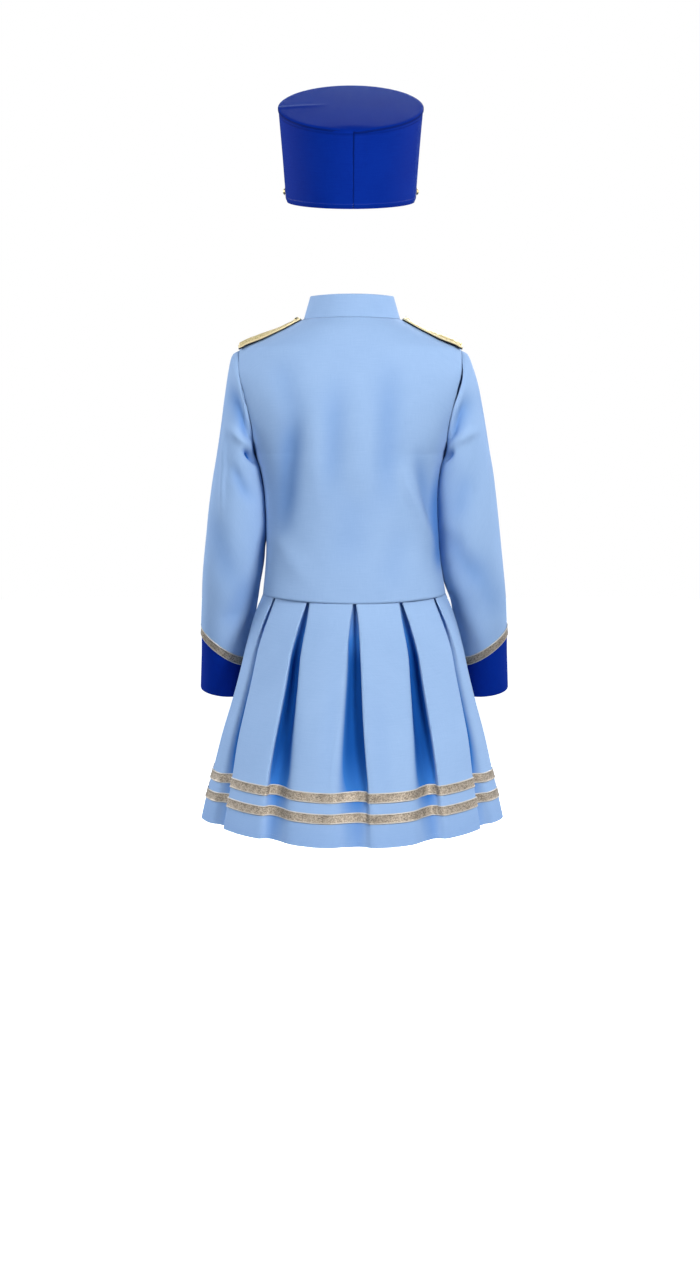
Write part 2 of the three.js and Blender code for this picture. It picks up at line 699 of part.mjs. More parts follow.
// Epaulettes: dark backing board, gold face and a small button each
for (const side of ['right', 'left']) {
  const place = (piece) => swayed(side === 'right' ? piece : mirrored(piece));
  const faceAt = BOARD.lift + BOARD_BASE.thick + 0.5;
  add(`epaulette_base_${side}`, place(board(BOARD_BASE, BOARD.lift)), 'navy');
  add(`epaulette_face_${side}`, place(board(BOARD_FACE, faceAt)), 'yellow');
  const high = shoulderHeight(BOARD_BUTTON.x, 0) + (faceAt + 0.2) / Math.cos(26 * RAD);
  const foot = new THREE.Vector3(BOARD_BUTTON.x, 0, high);
  const lean = new THREE.Vector3(Math.sin(26 * RAD), 0, Math.cos(26 * RAD));
  const { radius, dome } = BOARD_BUTTON;
  add(`epaulette_button_${side}`, place(button(foot, lean, radius, dome)), 'gold');
}

// Buttons down the centre front
for (let i = 0; i < FRONT_BUTTONS.count; i += 1) {
  const { count, first, last, radius, dome } = FRONT_BUTTONS;
  const z = first + ((last - first) * i) / (count - 1);
  const here = bodicePoint(z, 0, 1);
  const above = bodicePoint(z + 8, 0, 1);
  const out = new THREE.Vector3(0, above.z - here.z, here.y - above.y).normalize();
  const foot = here.addScaledVector(out, GAP + 0.15);
  add(`front_button_${i + 1}`, swayed(button(foot, out, radius, dome)), 'gold');
}

// Hat
add('hat_side', hatSide(), 'royal');
add('hat_top', hatTop(), 'royal');
add('hat_peak', hatPeak(), 'royal');
add('hat_strap', hatStrap(), 'gold');
for (const [side, sign] of [['right', 1], ['left', -1]]) {
  const foot = hatAbove(sign > 0 ? 0 : Math.PI, HAT_BUTTON.above);
  foot.x += sign * 0.5;
  const out = new THREE.Vector3(sign, 0, -0.09);
  add(`hat_button_${side}`, button(foot, out, HAT_BUTTON.radius, HAT_BUTTON.dome), 'gold');
}

export default costume;
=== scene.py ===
# %% [markdown]
# # A child's majorette costume, sewn in numpy
# The costume is a light blue dress with a pleated skirt and gold braid, and a royal blue
# drum hat that floats where the wearer's head holds it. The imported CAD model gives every
# piece its place. Here each piece is made again as fine cloth, from one function of two
# parameters on a grid, and then gets its fabric.

# %% Load the frame
import math

import bpy
import numpy as np
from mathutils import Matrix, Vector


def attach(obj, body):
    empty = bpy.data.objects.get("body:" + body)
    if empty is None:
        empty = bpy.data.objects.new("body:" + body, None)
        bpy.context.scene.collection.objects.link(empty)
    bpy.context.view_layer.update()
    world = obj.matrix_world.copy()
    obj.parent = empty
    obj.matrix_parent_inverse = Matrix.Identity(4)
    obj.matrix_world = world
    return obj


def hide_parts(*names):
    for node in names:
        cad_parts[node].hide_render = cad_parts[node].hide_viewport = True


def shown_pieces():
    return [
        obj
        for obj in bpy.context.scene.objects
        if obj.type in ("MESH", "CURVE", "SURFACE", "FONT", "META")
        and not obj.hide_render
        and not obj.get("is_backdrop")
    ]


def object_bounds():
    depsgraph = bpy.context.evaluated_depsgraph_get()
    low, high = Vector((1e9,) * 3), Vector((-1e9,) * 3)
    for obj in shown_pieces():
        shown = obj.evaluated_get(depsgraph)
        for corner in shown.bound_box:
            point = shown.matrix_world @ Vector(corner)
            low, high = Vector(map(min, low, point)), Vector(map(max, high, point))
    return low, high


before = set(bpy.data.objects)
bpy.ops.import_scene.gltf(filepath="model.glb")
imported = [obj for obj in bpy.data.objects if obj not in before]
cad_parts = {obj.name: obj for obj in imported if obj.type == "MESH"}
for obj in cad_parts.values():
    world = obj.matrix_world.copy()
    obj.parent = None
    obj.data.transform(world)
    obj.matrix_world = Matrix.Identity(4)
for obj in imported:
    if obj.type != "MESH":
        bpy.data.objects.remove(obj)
CAD_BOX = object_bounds()
MM = 0.001
print("frame:", len(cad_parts), "nodes, box", [round(v, 3) for c in CAD_BOX for v in c])

# %% [markdown]
# ## Tables and smooth curves
# A garment is drafted from a few measured rings. Each table below has one row a ring, in
# millimetres. Straight lines between rings would show as facets, so a monotone cubic runs
# through them: it is smooth and never overshoots a measurement.

# %% Table and curve helpers
def table(columns, *rows):
    """One array for each named column."""
    return {name: np.array(values, float) for name, values in zip(columns.split(), zip(*rows))}


def through(x, y, at):
    """Monotone cubic through (x, y): p = h00 y0 + h10 h m0 + h01 y1 + h11 h m1.

    The slope m at a row is the weighted harmonic mean of the slopes beside it, or 0 at a peak.
    """
    order = np.argsort(x)
    x, y, at = x[order], y[order], np.clip(at, x.min(), x.max())
    wide = (len(x) - 1,) + (1,) * (y.ndim - 1)
    h = np.diff(x).reshape(wide)
    slope = np.diff(y, axis=0) / h
    before, after = slope[:-1], slope[1:]
    same = before * after > 0
    w1, w2 = 2 * h[1:] + h[:-1], h[1:] + 2 * h[:-1]
    mean = (w1 + w2) / (w1 / np.where(same, before, 1) + w2 / np.where(same, after, 1))
    m = np.concatenate([slope[:1], np.where(same, mean, 0), slope[-1:]])
    i = np.clip(np.searchsorted(x, at, "right") - 1, 0, len(x) - 2)
    step = np.diff(x)[i]
    t, step = (v.reshape(v.shape + (1,) * (y.ndim - 1)) for v in ((at - x[i]) / step, step))
    return ((2 * t**3 - 3 * t**2 + 1) * y[i] + (t**3 - 2 * t**2 + t) * step * m[i]
            + (3 * t**2 - 2 * t**3) * y[i + 1] + (t**3 - t**2) * step * m[i + 1])


def look(rows, key, at, column):
    """A column of a table at any value of its key."""
    return through(rows[key], rows[column], np.asarray(at, float))


def smooth(low, high, value):
    """0 below low, 1 above high, 3s^2 - 2s^3 between."""
    s = np.clip((np.asarray(value, float) - low) / (high - low), 0, 1)
    return s * s * (3 - 2 * s)


def bell(value, middle, wide):
    """e^-((value - middle) / wide)^2: 1 at the middle, 0.37 at one width from it."""
    return np.exp(-((value - middle) / wide) ** 2)


def bent(value, power):
    """Sign kept, size raised to a power: it squares off an ellipse."""
    return np.sign(value) * np.abs(value) ** power


def points(x, y, z):
    """x, y and z grids as one grid of points."""
    return np.stack(np.broadcast_arrays(x, y, z), axis=-1).astype(float)


# %% [markdown]
# ## From a grid to cloth
# Cloth has two faces and a cut edge. So every piece is a wall: the outer grid, the same grid
# moved in by the cloth's thickness, and four narrow rims. Solidify could do this, but here the
# thickness may change over the piece, and the UV map can be laid in metres along the threads,
# so that one weave fits all pieces.

# %% Wall maker
def square_to(grid, closed=False):
    """Unit normal at each grid point: across x along, from central differences."""
    if closed:
        across = np.roll(grid, -1, axis=1) - np.roll(grid, 1, axis=1)
    else:
        across = np.gradient(grid, axis=1)
    out = np.cross(across, np.gradient(grid, axis=0))
    return out / np.maximum(np.linalg.norm(out, axis=-1, keepdims=True), 1e-9)


def thread_uv(grid, closed):
    """u = length along the row, v = length up the column, both in metres."""
    run = np.concatenate([grid, grid[:, :1]], axis=1) if closed else grid
    u = np.linalg.norm(np.diff(run, axis=1), axis=-1).cumsum(axis=1)
    u = np.concatenate([np.zeros((len(grid), 1)), u], axis=1)
    u -= u.mean(axis=1, keepdims=True)
    v = np.linalg.norm(np.diff(run, axis=0), axis=-1).cumsum(axis=0)
    v = np.concatenate([np.zeros((1, run.shape[1])), v], axis=0)
    return np.stack([u, v], axis=-1) * MM


def make_mesh(name, verts, blocks, flat=(), uv=None, deep=None):
    """A mesh object: verts (n, 3) in mm, blocks of faces, and which blocks stay flat.

    deep is one number a vertex for painted shade, 0 on open cloth and 1 in the heart of a fold.
    """
    mesh = bpy.data.meshes.new(name)
    mesh.from_pydata((verts * MM).tolist(), [], [f for block in blocks for f in block.tolist()])
    is_smooth = [np.full(len(block), i not in flat) for i, block in enumerate(blocks)]
    mesh.polygons.foreach_set("use_smooth", np.concatenate(is_smooth))
    if uv is not None:
        threads = mesh.uv_layers.new(name="threads")
        threads.data.foreach_set("uv", uv.astype(np.float32).ravel())
    if deep is not None:
        tone = mesh.attributes.new("deep", "FLOAT", "POINT")
        tone.data.foreach_set("value", deep.astype(np.float32))
    mesh.update()
    piece = bpy.data.objects.new(name, mesh)
    bpy.context.scene.collection.objects.link(piece)
    return piece


def pair(row, column):
    """Row and column numbers side by side."""
    return np.stack(np.broadcast_arrays(row, column), axis=-1)


def cells(rows, columns):
    """Row and column of the four corners of each cell of a grid."""
    i, j = (a.ravel() for a in np.meshgrid(np.arange(rows), np.arange(columns), indexing="ij"))
    return np.stack([pair(i, j), pair(i, j + 1), pair(i + 1, j + 1), pair(i + 1, j)], axis=1)


def rim_quads(a, b):
    """Quads over the cut edge from a to b: outer a, inner a, inner b, outer b."""
    corners = [np.concatenate([p, np.full((len(p), 1), layer)], -1)
               for p, layer in ((a, 0), (a, 1), (b, 1), (b, 0))]
    return np.stack(corners, axis=1)


def wall(name, outer, thick, closed=False, uv=None, inner=None, pole=False, deep=None):
    """Closed wall: outer grid, inner grid = outer - normal x thick, and the rims between.

    pole closes the first ring of both faces over its middle, as on a lid.
    """
    rows, cols = outer.shape[:2]
    layer, spans = rows * cols, cols if closed else cols - 1
    if inner is None:
        inner = outer - square_to(outer, closed) * thick
    uv = thread_uv(outer, closed) if uv is None else uv
    quads = cells(rows - 1, spans)
    side = np.zeros(quads.shape[:2] + (1,), int)
    both = [np.concatenate([quads, side], -1), np.concatenate([quads, side + 1], -1)[:, ::-1]]
    e, last = np.arange(spans), rows - 1
    rims = [rim_quads(pair(0, e), pair(0, e + 1)), rim_quads(pair(last, e + 1), pair(last, e))]
    if not closed:
        e, last = np.arange(rows - 1), cols - 1
        rims += [rim_quads(pair(e + 1, 0), pair(e, 0)),
                 rim_quads(pair(e, last), pair(e + 1, last))]
    blocks = [np.concatenate(both), np.concatenate(rims[1:] if pole else rims)]
    faces = [c[..., 0] * cols + c[..., 1] % cols + c[..., 2] * layer for c in blocks]
    loops = [uv[c[..., 0], c[..., 1]].reshape(-1, 2) for c in blocks]
    verts = [outer.reshape(-1, 3), inner.reshape(-1, 3)]
    if pole:
        verts.append(np.stack([outer[0].mean(axis=0), inner[0].mean(axis=0)]))
        here, hub = np.arange(cols), np.full(cols, 2 * layer)
        after = (here + 1) % cols
        faces.append(np.concatenate([np.stack([hub, after, here], -1),
                                     np.stack([hub + 1, here + layer, after + layer], -1)]))
        middle = np.broadcast_to(uv[0, :cols].mean(axis=0), (cols, 2))
        fan = np.stack([middle, uv[0, 1:cols + 1], uv[0, :cols]], axis=1)
        loops.append(np.concatenate([fan, fan[:, [0, 2, 1]]]).reshape(-1, 2))
    # painted shade share, the same on both faces of the cloth
    if deep is not None:
        deep = np.concatenate([deep.ravel(), deep.ravel(), np.zeros(2 if pole else 0)])
    return make_mesh(name, np.concatenate(verts), faces, flat=(1,), uv=np.concatenate(loops),
                     deep=deep)


def area_of(piece):
    """Half of the mesh's area in square metres: one face of the cloth."""
    areas = np.zeros(len(piece.data.polygons))
    piece.data.polygons.foreach_get("area", areas)
    return areas.sum() / 2


# %% [markdown]
# ## Creases
# Real creases come from how the cloth hangs: they start at a point of strain, such as the
# armpit, and die out. Each row of a crease table is one soft trough (depth below 0) or ridge,
# drawn as a line seen from one side of the garment. Moving the cloth along its own normal by a
# Gauss curve across that line gives the rounded bottom that cloth makes.

# %% Crease helper
SIDES = {"back": (0, -1), "front": (0, 1), "right": (1, 1), "left": (1, -1)}
FULL_TROUGH, TROUGH_PAINTED_SHADE = 7, 0.22  # mm deep for the full painted shade, and the share of painted shade colour a full trough takes


def crease_height(grid, creases, closed=False, keep=1.0):
    """sum depth e^-(d/wide)^2 ends(s), d off the line and s along it.

    A crease works only where the cloth faces its side. keep is 0 where an edge must stay.
    """
    normal = square_to(grid, closed)
    total = np.zeros(grid.shape[:2])
    for face, a0, z0, a1, z1, wide, deep in creases:
        axis, sign = SIDES[face]
        along = grid[..., 0] if axis == 0 else grid[..., 1]
        facing = sign * (normal[..., 1] if axis == 0 else normal[..., 0])
        da, dz = a1 - a0, z1 - z0
        s = ((along - a0) * da + (grid[..., 2] - z0) * dz) / (da * da + dz * dz)
        off = ((along - a0) * dz - (grid[..., 2] - z0) * da) / math.hypot(da, dz)
        ends = smooth(-0.3, 0.3, s) * (1 - smooth(0.6, 1.25, s))
        total += deep * ends * bell(off, 0, wide) * smooth(0.1, 0.5, facing)
    return total * keep


def creased(grid, creases, closed=False, keep=1.0):
    """p + n height."""
    return grid + square_to(grid, closed) * crease_height(grid, creases, closed, keep)[..., None]


def painted_trough_shade(grid, creases, closed=False, keep=1.0):
    """Painted shade: how deep a point lies in a trough, as a share of darker colour."""
    dip = -crease_height(grid, creases, closed, keep) / FULL_TROUGH
    return np.clip(dip, 0, 1) * TROUGH_PAINTED_SHADE


# %% [markdown]
# ## The pose
# The wearer stands with a slight sway, so the middle of the dress moves a few millimetres to
# the side with height. One helper shifts every piece of the dress the same way.

# %% Sway
SWAY = table("z x", (-478, 3), (-350, 3), (-250, 0), (-168, -2.5), (-42, -2), (0, 0))


def swayed(grid):
    """x + sway(z), straight between the rows."""
    order = np.argsort(SWAY["z"])
    shift = np.interp(grid[..., 2], SWAY["z"][order], SWAY["x"][order])
    return grid + shift[..., None] * np.array([1.0, 0, 0])


# %% [markdown]
# ## Bodice shape
# Seen from above, the body under the cloth is a slightly squared oval. At each height the
# half width, the depth to the back and to the front are known. Back and front panels meet at
# the side seams, and higher up at the armhole, an oval seen from the side.

# %% Bodice table and section
BODICE = table(
    "z half back front round",
    (-349.7, 114, 88, 88, 0.9), (-320, 110.5, 87, 88, 0.9), (-285, 107.8, 86, 88, 0.9),
    (-250, 107.3, 87, 89, 0.9), (-217, 108.5, 89, 91, 0.9), (-188, 113, 91, 93, 0.9),
    (-168, 118, 92, 94, 0.9), (-140, 120.3, 93, 94, 0.9), (-118, 124.5, 92.5, 92, 0.9),
    (-93, 131, 90.2, 88.5, 0.9), (-65, 137, 84.5, 81.5, 0.91), (-42, 137.5, 77, 73.5, 0.9),
    (-29, 111.5, 71, 68, 0.85), (-16, 85.5, 63.5, 62, 0.84), (-3, 59.5, 54, 54, 0.9))
ARMHOLE = {"middle": -105, "rise": 63, "back": 46, "front": 43}
SEAM = 0.2
NECK = {"up_back": 3, "down_front": 19, "fade_from": -110, "top": -3, "round": 0.9}
WAIST, WAIST_RISE, WAIST_FADE = -350, 5.5, -290


def armhole_depth(z, face):
    """Reach of the armhole's oval: reach sqrt(1 - s^2), 0 outside it."""
    s = (z - ARMHOLE["middle"]) / ARMHOLE["rise"]
    reach = ARMHOLE["back" if face < 0 else "front"]
    return reach * np.sqrt(np.clip(1 - s * s, 0, 1))


def section(z, face):
    """Depth, angle of the panel's edge and full half width of the oval at height z."""
    depth = look(BODICE, "z", z, "back" if face < 0 else "front")
    power = look(BODICE, "z", z, "round")
    turn = np.arccos(((SEAM + armhole_depth(z, face)) / depth) ** (1 / power))
    wide = look(BODICE, "z", z, "half") / bent(np.sin(turn), power)
    return depth, turn, wide, power


def oval(y, z):
    """Depth, full half width and power of the oval at height z, back or front as y says."""
    (d0, _, w0, p0), (d1, _, w1, p1) = section(z, -1), section(z, 1)
    return (np.where(y < 0, a, b) for a, b in ((d0, d1), (w0, w1), (p0, p1)))


def side_of_bodice(y, z):
    """x = wide (1 - (|y| / depth)^(2/r))^(r/2)."""
    depth, wide, power = oval(y, z)
    return wide * np.clip(1 - (np.abs(y) / depth) ** (2 / power), 0, 1) ** (power / 2)


def bodice_points(z, angle, face):
    """x = wide sin^r, y = depth cos^r at height z, plus a lift.

    The neck edge rises behind and dips in front, and the waist seam rises to the sides.
    """
    depth, _, wide, power = (v[:, None] for v in section(z, face))
    neck = smooth(NECK["fade_from"], NECK["top"], z)[:, None] * np.cos(angle) ** 2
    lift = NECK["up_back"] * neck if face < 0 else -NECK["down_front"] * neck
    x = wide * bent(np.sin(angle), power)
    lift = lift + WAIST_RISE * (x / wide) ** 2 * (1 - smooth(WAIST, WAIST_FADE, z))[:, None]
    return points(x, face * depth * bent(np.cos(angle), power), z[:, None] + lift)


def column_angles(share, turn):
    """share of 90 degrees, drawn in to the armhole's edge near share 1."""
    pull = (math.pi / 2 - turn)[:, None] * smooth(0.35, 1, np.abs(share))
    return share * math.pi / 2 - np.sign(share) * pull


def bodice_heights(low=64, arm=72, top=26):
    """Rows close together where the armhole's oval turns: middle - rise cos(pi i / n)."""
    hole = ARMHOLE["middle"] - ARMHOLE["rise"] * np.cos(np.linspace(0, math.pi, arm))
    return np.concatenate([np.linspace(BODICE["z"][0], hole[0], low)[:-1], hole,
                           np.linspace(hole[-1], NECK["top"], top)[1:]])


HEIGHTS = bodice_heights()
print("bodice rows:", len(HEIGHTS))

# %% [markdown]
# ## Edges that turn in
# At a seam the cloth turns in to its allowance, and that small round edge makes the thin dark
# line that tells the eye "sewn". The grid gets extra lines near its edges, and there the
# surface dips along its normal by half a millimetre.

# %% Edge helpers
NEAR = np.array([0, 0.3, 0.7, 1.2, 1.9, 2.9])


def steps(count, length, ends=(True, True)):
    """0 to 1 with extra lines 0.3 to 2.9 mm from the ends of a run of that length."""
    near = NEAR / length
    low = near if ends[0] else near[:1]
    high = 1 - near[::-1] if ends[1] else 1 - near[:1]
    return np.concatenate([low[:-1], np.linspace(low[-1], high[0], count), high[1:]])


def rolled(grid, edges, closed=False, deep=0.55, wide=1.1):
    """p - n deep e^-(d/wide)^2, d the distance along the cloth from each edge named."""
    across = np.linalg.norm(np.diff(grid, axis=1), axis=-1)
    along = np.linalg.norm(np.diff(grid, axis=0), axis=-1)
    from_first = np.pad(across.cumsum(axis=1), ((0, 0), (1, 0)))
    from_low = np.pad(along.cumsum(axis=0), ((1, 0), (0, 0)))
    distance = {"first": from_first, "last": from_first[:, -1:] - from_first,
                "low": from_low, "high": from_low[-1:] - from_low}
    dip = sum(bell(distance[e], 0, wide) for e in edges)
    return grid - square_to(grid, closed) * (deep * dip)[..., None]


# %% [markdown]
# ## Back panel
# The back is one piece from armhole to armhole. Three soft troughs fall from the shoulder
# blades and one ridge points to the right of the waist. They are placed where the light shows
# them, each with its own length and depth, and the front has a few of its own.

# %% Bodice creases and back
CLOTH = 1.2
BODICE_CREASES = [
    ("back", -70, -130, -90, -262, 15, -8), ("back", -17, -88, -24, -212, 16, -3.4),
    ("back", 47, -76, 43, -222, 16, -3.6), ("back", 66, -196, 97, -279, 8, 4.6),
    ("back", -84, -60, -70, -118, 16, -2.2), ("back", 86, -176, 104, -270, 9, -5.5),
    ("back", -42, -120, -46, -210, 12, 1.6), ("back", 14, -110, 10, -220, 14, 1.4),
    ("back", 6, -215, -8, -300, 22, -1.8), ("back", 58, -262, 44, -330, 16, -1.4),
    ("back", -96, -268, -60, -322, 13, 2.1), ("front", -62, -120, -84, -238, 16, -5.1),
    ("front", 60, -130, 88, -252, 16, -5.4), ("front", -36, -80, -44, -150, 14, -2.6),
    ("front", 34, -86, 46, -160, 13, -2.9), ("front", 92, -250, 60, -320, 13, 2.6),
    ("front", -94, -262, -52, -318, 14, 2.2)]
LAP = {"half": 12, "under": 1.9, "ease": 30}
SEAM_FADE = 0.84, 1  # creases fade over this share of a panel, towards its side seam
# share of painted shade on the back's strips in the arms' shade
ARM_PAINTED_SHADE = 0.4


def arm_shade_mask(share):
    """Painted shade mask: 1 on the back's strips in the arms' shade, from armpit to waist."""
    strips = smooth(0.82, 0.97, -share) + smooth(0.64, 0.84, share)
    return strips * (smooth(-160, -230, HEIGHTS) * (1 - smooth(-290, -330, HEIGHTS)))[:, None]


def back_panel():
    """Angle = share x 90 degrees over the back, then creases, then edges turned in."""
    share = 2 * steps(116, 270) - 1
    _, turn, _, _ = section(HEIGHTS, -1)
    grid = bodice_points(HEIGHTS, column_angles(share[None, :], turn), -1)
    keep = 1 - smooth(*SEAM_FADE, np.abs(share))[None, :]
    # painted shade: darker colour in the troughs and on the strips in the arms' shade
    deep = np.maximum(painted_trough_shade(grid, BODICE_CREASES, keep=keep), ARM_PAINTED_SHADE * arm_shade_mask(share))
    grid = creased(grid, BODICE_CREASES, keep=keep)
    grid = rolled(rolled(grid, ["low"], deep=0.08), ["first", "last"], deep=0.12)
    return wall("costume_back", swayed(grid), CLOTH, deep=deep)


def front_panel(side):
    """Right (1) laps over left (-1). Columns run from past the centre line to the side seam."""
    _, turn, wide, power = section(HEIGHTS, 1)
    first = np.arcsin((LAP["half"] / wide) ** (1 / power))[:, None] / (math.pi / 2)
    share = -first + (1 + first) * steps(66, 150)[None, :]
    grid = bodice_points(HEIGHTS, column_angles(share, turn) * side, 1)
    if side > 0:
        grid, share = grid[:, ::-1], share[:, ::-1]
    else:
        grid[..., 1] -= LAP["under"] * (1 - smooth(LAP["half"], LAP["ease"], -grid[..., 0]))
    keep = (1 - smooth(*SEAM_FADE, share)) * smooth(0.02, 0.2, share)
    # painted shade in the troughs
    deep = painted_trough_shade(grid, BODICE_CREASES, keep=keep)
    grid = rolled(creased(grid, BODICE_CREASES, keep=keep), ["low", "first", "last"], deep=0.35)
    name = "costume_front_right" if side > 0 else "costume_front_left"
    return wall(name, swayed(grid), CLOTH, deep=deep), grid


back = back_panel()
front_right, front_grid = front_panel(1)
front_left, _ = front_panel(-1)
print("back panel:", round(area_of(back), 4), "m2, fronts:", round(area_of(front_right), 4))

# %% [markdown]
# ## Collar
# A stand collar is a straight strip of faced cloth. It leans in towards the neck, and it stays
# open by a few degrees at the centre front.

# %% Collar
FIRM = 1.6
COLLAR = {"height": 28, "wide_top": 51.5, "deep_top": 48, "opening": 3.5, "gap": 0.12}


def collar_strip():
    """x = wide cos^r, y = deep sin^r round the neck, z follows the neck edge, then up."""
    up = steps(12, COLLAR["height"])[:, None]
    turn = COLLAR["opening"]
    angle = np.radians(90 + turn + (360 - 2 * turn) * steps(150, 320)[None, :])
    neck_wide, neck_deep = BODICE["half"][-1], BODICE["back"][-1]
    wide = neck_wide + (COLLAR["wide_top"] - neck_wide) * up
    deep = neck_deep + (COLLAR["deep_top"] - neck_deep) * up
    sine = np.sin(angle)
    lift = np.where(sine < 0, NECK["up_back"], -NECK["down_front"]) * sine**2
    grid = points(wide * bent(np.cos(angle), NECK["round"]), deep * bent(sine, NECK["round"]),
                  NECK["top"] + lift + COLLAR["gap"] + COLLAR["height"] * up)
    grid = rolled(grid, ["low"], deep=0.12)
    return wall("costume_collar", rolled(grid, ["high"], deep=0.4, wide=0.8), FIRM)


collar = collar_strip()
print("collar:", round(area_of(collar), 4), "m2")

# %% [markdown]
# ## Sleeves
# A sleeve is a tube that starts as the armhole's oval and ends at the wrist. Each row of the
# table is a ring from its outer to its inner point. The first rings fan round the armpit, so
# the cloth bunches there, as it does on a hanging arm.

# %% Sleeve rings
SLEEVE = np.array([  # outer x, z, inner x, z, middle y, reach back, reach front
    (137.9, -42, 118.4, -168, 0, 46, 43), (145, -46, 118.1, -172, 0, 47, 44),
    (152, -66, 116.4, -178.5, 0, 47, 44), (158.5, -97, 114, -188, 0, 46, 44),
    (165, -135, 110.9, -203, 0, 44, 43), (172, -180, 108.3, -226, 1, 41.5, 41),
    (178.5, -232, 107.8, -258, 3, 39, 39), (184, -285, 110.2, -296, 8, 37, 37.5),
    (188.8, -335, 118.2, -338, 18, 35.5, 36), (191.5, -377, 124.3, -374, 31.5, 34.6, 34.6)],
    float)
FOREARM = table("z x y wide deep", (-485, 166.8, 69.5, 29.2, 31), (-430, 163.5, 52, 30, 33),
                (-392, 160, 37, 32.3, 34), (-352, 154.5, 22, 35.5, 35.5))
CUFF_BRAID, ARM_GAP, SEAM_GAP = 11.5, 0.35, 0.3
CUFF_TOP = {"z": -410, "slant": 22, "turn": math.radians(150)}
CUFF_END = {"z": -471.5, "out": 3, "back": 6.5}
ROUND_ARM = np.linspace(0, 2 * math.pi, 112, endpoint=False)


def cuff_line(a):
    """Slanted seam of the cuff: z - slant cos(a - turn)."""
    return CUFF_TOP["z"] - CUFF_TOP["slant"] * np.cos(a - CUFF_TOP["turn"])


def forearm(z, a):
    """Oval ring: (x + wide cos a, y - deep sin a)."""
    x, y, wide, deep = (look(FOREARM, "z", z, c) for c in ("x", "y", "wide", "deep"))
    return points(x + wide * np.cos(a), y - deep * np.sin(a), z)


def sleeve_rings(a):
    """p = middle + half cos a, y - reach sin a; the armhole's own shape fades over 3 rings."""
    xo, zo, xi, zi, y, back_y, front_y = (SLEEVE[:, i, None] for i in range(7))
    cosine, sine = np.cos(a), np.sin(a)
    reach = np.where(sine > 0, back_y, front_y)
    rings = points((xo + xi) / 2 + (xo - xi) / 2 * cosine, y - reach * sine,
                   (zo + zi) / 2 + (zo - zi) / 2 * cosine)
    z = ARMHOLE["middle"] + ARMHOLE["rise"] * cosine
    hole = points(look(BODICE, "z", z, "half") + ARM_GAP,
                  np.where(sine > 0, -ARMHOLE["back"], -ARMHOLE["front"]) * sine, z)
    fade = np.clip(1 - np.arange(len(SLEEVE)) / 3, 0, 1)[:, None, None]
    rings = rings + (hole - rings[0]) * fade
    low = [forearm(cuff_line(a) + above, a) for above in (CUFF_BRAID / 2, SEAM_GAP)]
    return np.concatenate([rings, np.stack(low)])


# %% [markdown]
# The creases of the two sleeves aren't mirrored: the left one has the deeper fold into its
# armpit. So the plain tube is mirrored first, and then each side gets its own table.

# %% Sleeves
SLEEVE_CREASES = {
    "right": [
        ("back", 141, -104, 118, -158, 10, -6), ("back", 124, -167, 108, -182, 3.6, -9.5),
        ("back", 150, -140, 117, -160, 6, 3.8), ("back", 160, -140, 169, -245, 3.4, 3),
        ("back", 118, -268, 150, -330, 13, -2.4), ("back", 150, -300, 178, -372, 16, -2.6),
        ("back", 142, -196, 128, -250, 12, -2),
        ("front", 140, -105, 118, -160, 12, -4), ("front", 126, -252, 172, -288, 9, -2.6),
        ("front", 122, -286, 168, -318, 8, -2.1), ("front", 134, -200, 158, -240, 12, -1.5),
        ("right", -14, -96, -6, -180, 12, -1.4), ("right", 20, -250, 34, -330, 11, -1.6)],
    "left": [
        ("back", -150, -92, -121, -152, 10, -6.4), ("back", -128, -166, -110, -184, 3.6, -10),
        ("back", -150, -138, -118, -161, 6, 4), ("back", -158, -145, -162, -236, 3.2, 3.4),
        ("back", -146, -186, -124, -226, 8, -3.2), ("back", -176, -250, -150, -335, 15, -2.4),
        ("back", -128, -330, -158, -392, 14, -2.4), ("front", -143, -112, -120, -162, 11, -4.2),
        ("front", -128, -255, -170, -300, 9, -2.8), ("front", -124, -298, -164, -322, 8, -2),
        ("left", -10, -110, 2, -190, 13, -1.3), ("left", 16, -262, 36, -322, 10, -1.8)]}
TIP = 6.8, 8.6  # mm of trough between which the tip of a fold takes a painted shadow
# shares of painted shade in the troughs and of painted shadow at the fold's tip
SLEEVE_PAINTED_SHADE, TIP_PAINTED_SHADOW = 1.5, 0.5


def for_side(grid, side):
    """As made on the right. On the left x turns to -x, with the columns reversed."""
    return grid if side == "right" else (grid * np.array([-1.0, 1, 1]))[:, ::-1]


# lean: how far the inner side moves to the body; it fades out round the height `end`
PRESS = {"right": {"sign": 1, "lean": 4.5, "end": -348},
         "left": {"sign": -1, "lean": 3, "end": -278}}
OUTER = table("z right left", (-400, 0, 1), (-330, 0.5, 1.5), (-250, 2.2, -0.6),
              (-165, 4.2, -3.8), (-95, 3.2, -2.8), (-50, 0, 0))


def pressed(grid, side):
    """The arm lies against the body: the inner side leans in, and stops short of the bodice.

    The outer side moves by a table, because the two arms don't hang alike.
    """
    sign, lean, end = PRESS[side].values()
    x, y, z = sign * grid[..., 0], grid[..., 1], grid[..., 2]
    low, high = x.min(axis=1, keepdims=True), x.max(axis=1, keepdims=True)
    share = (2 * x - low - high) / (high - low)
    leaning = smooth(0.3, 1, -share) * smooth(-166, -186, z)
    x = x - lean * leaning * (1 - smooth(end + 22, end - 12, z))
    x = x + smooth(-0.4, 0.9, share) * look(OUTER, "z", z.ravel(), side).reshape(x.shape)
    body = side_of_bodice(y.ravel(), z.ravel()).reshape(x.shape) + SEAM_GAP
    return points(sign * np.where(z > WAIST, np.maximum(x, body), x), y, z)


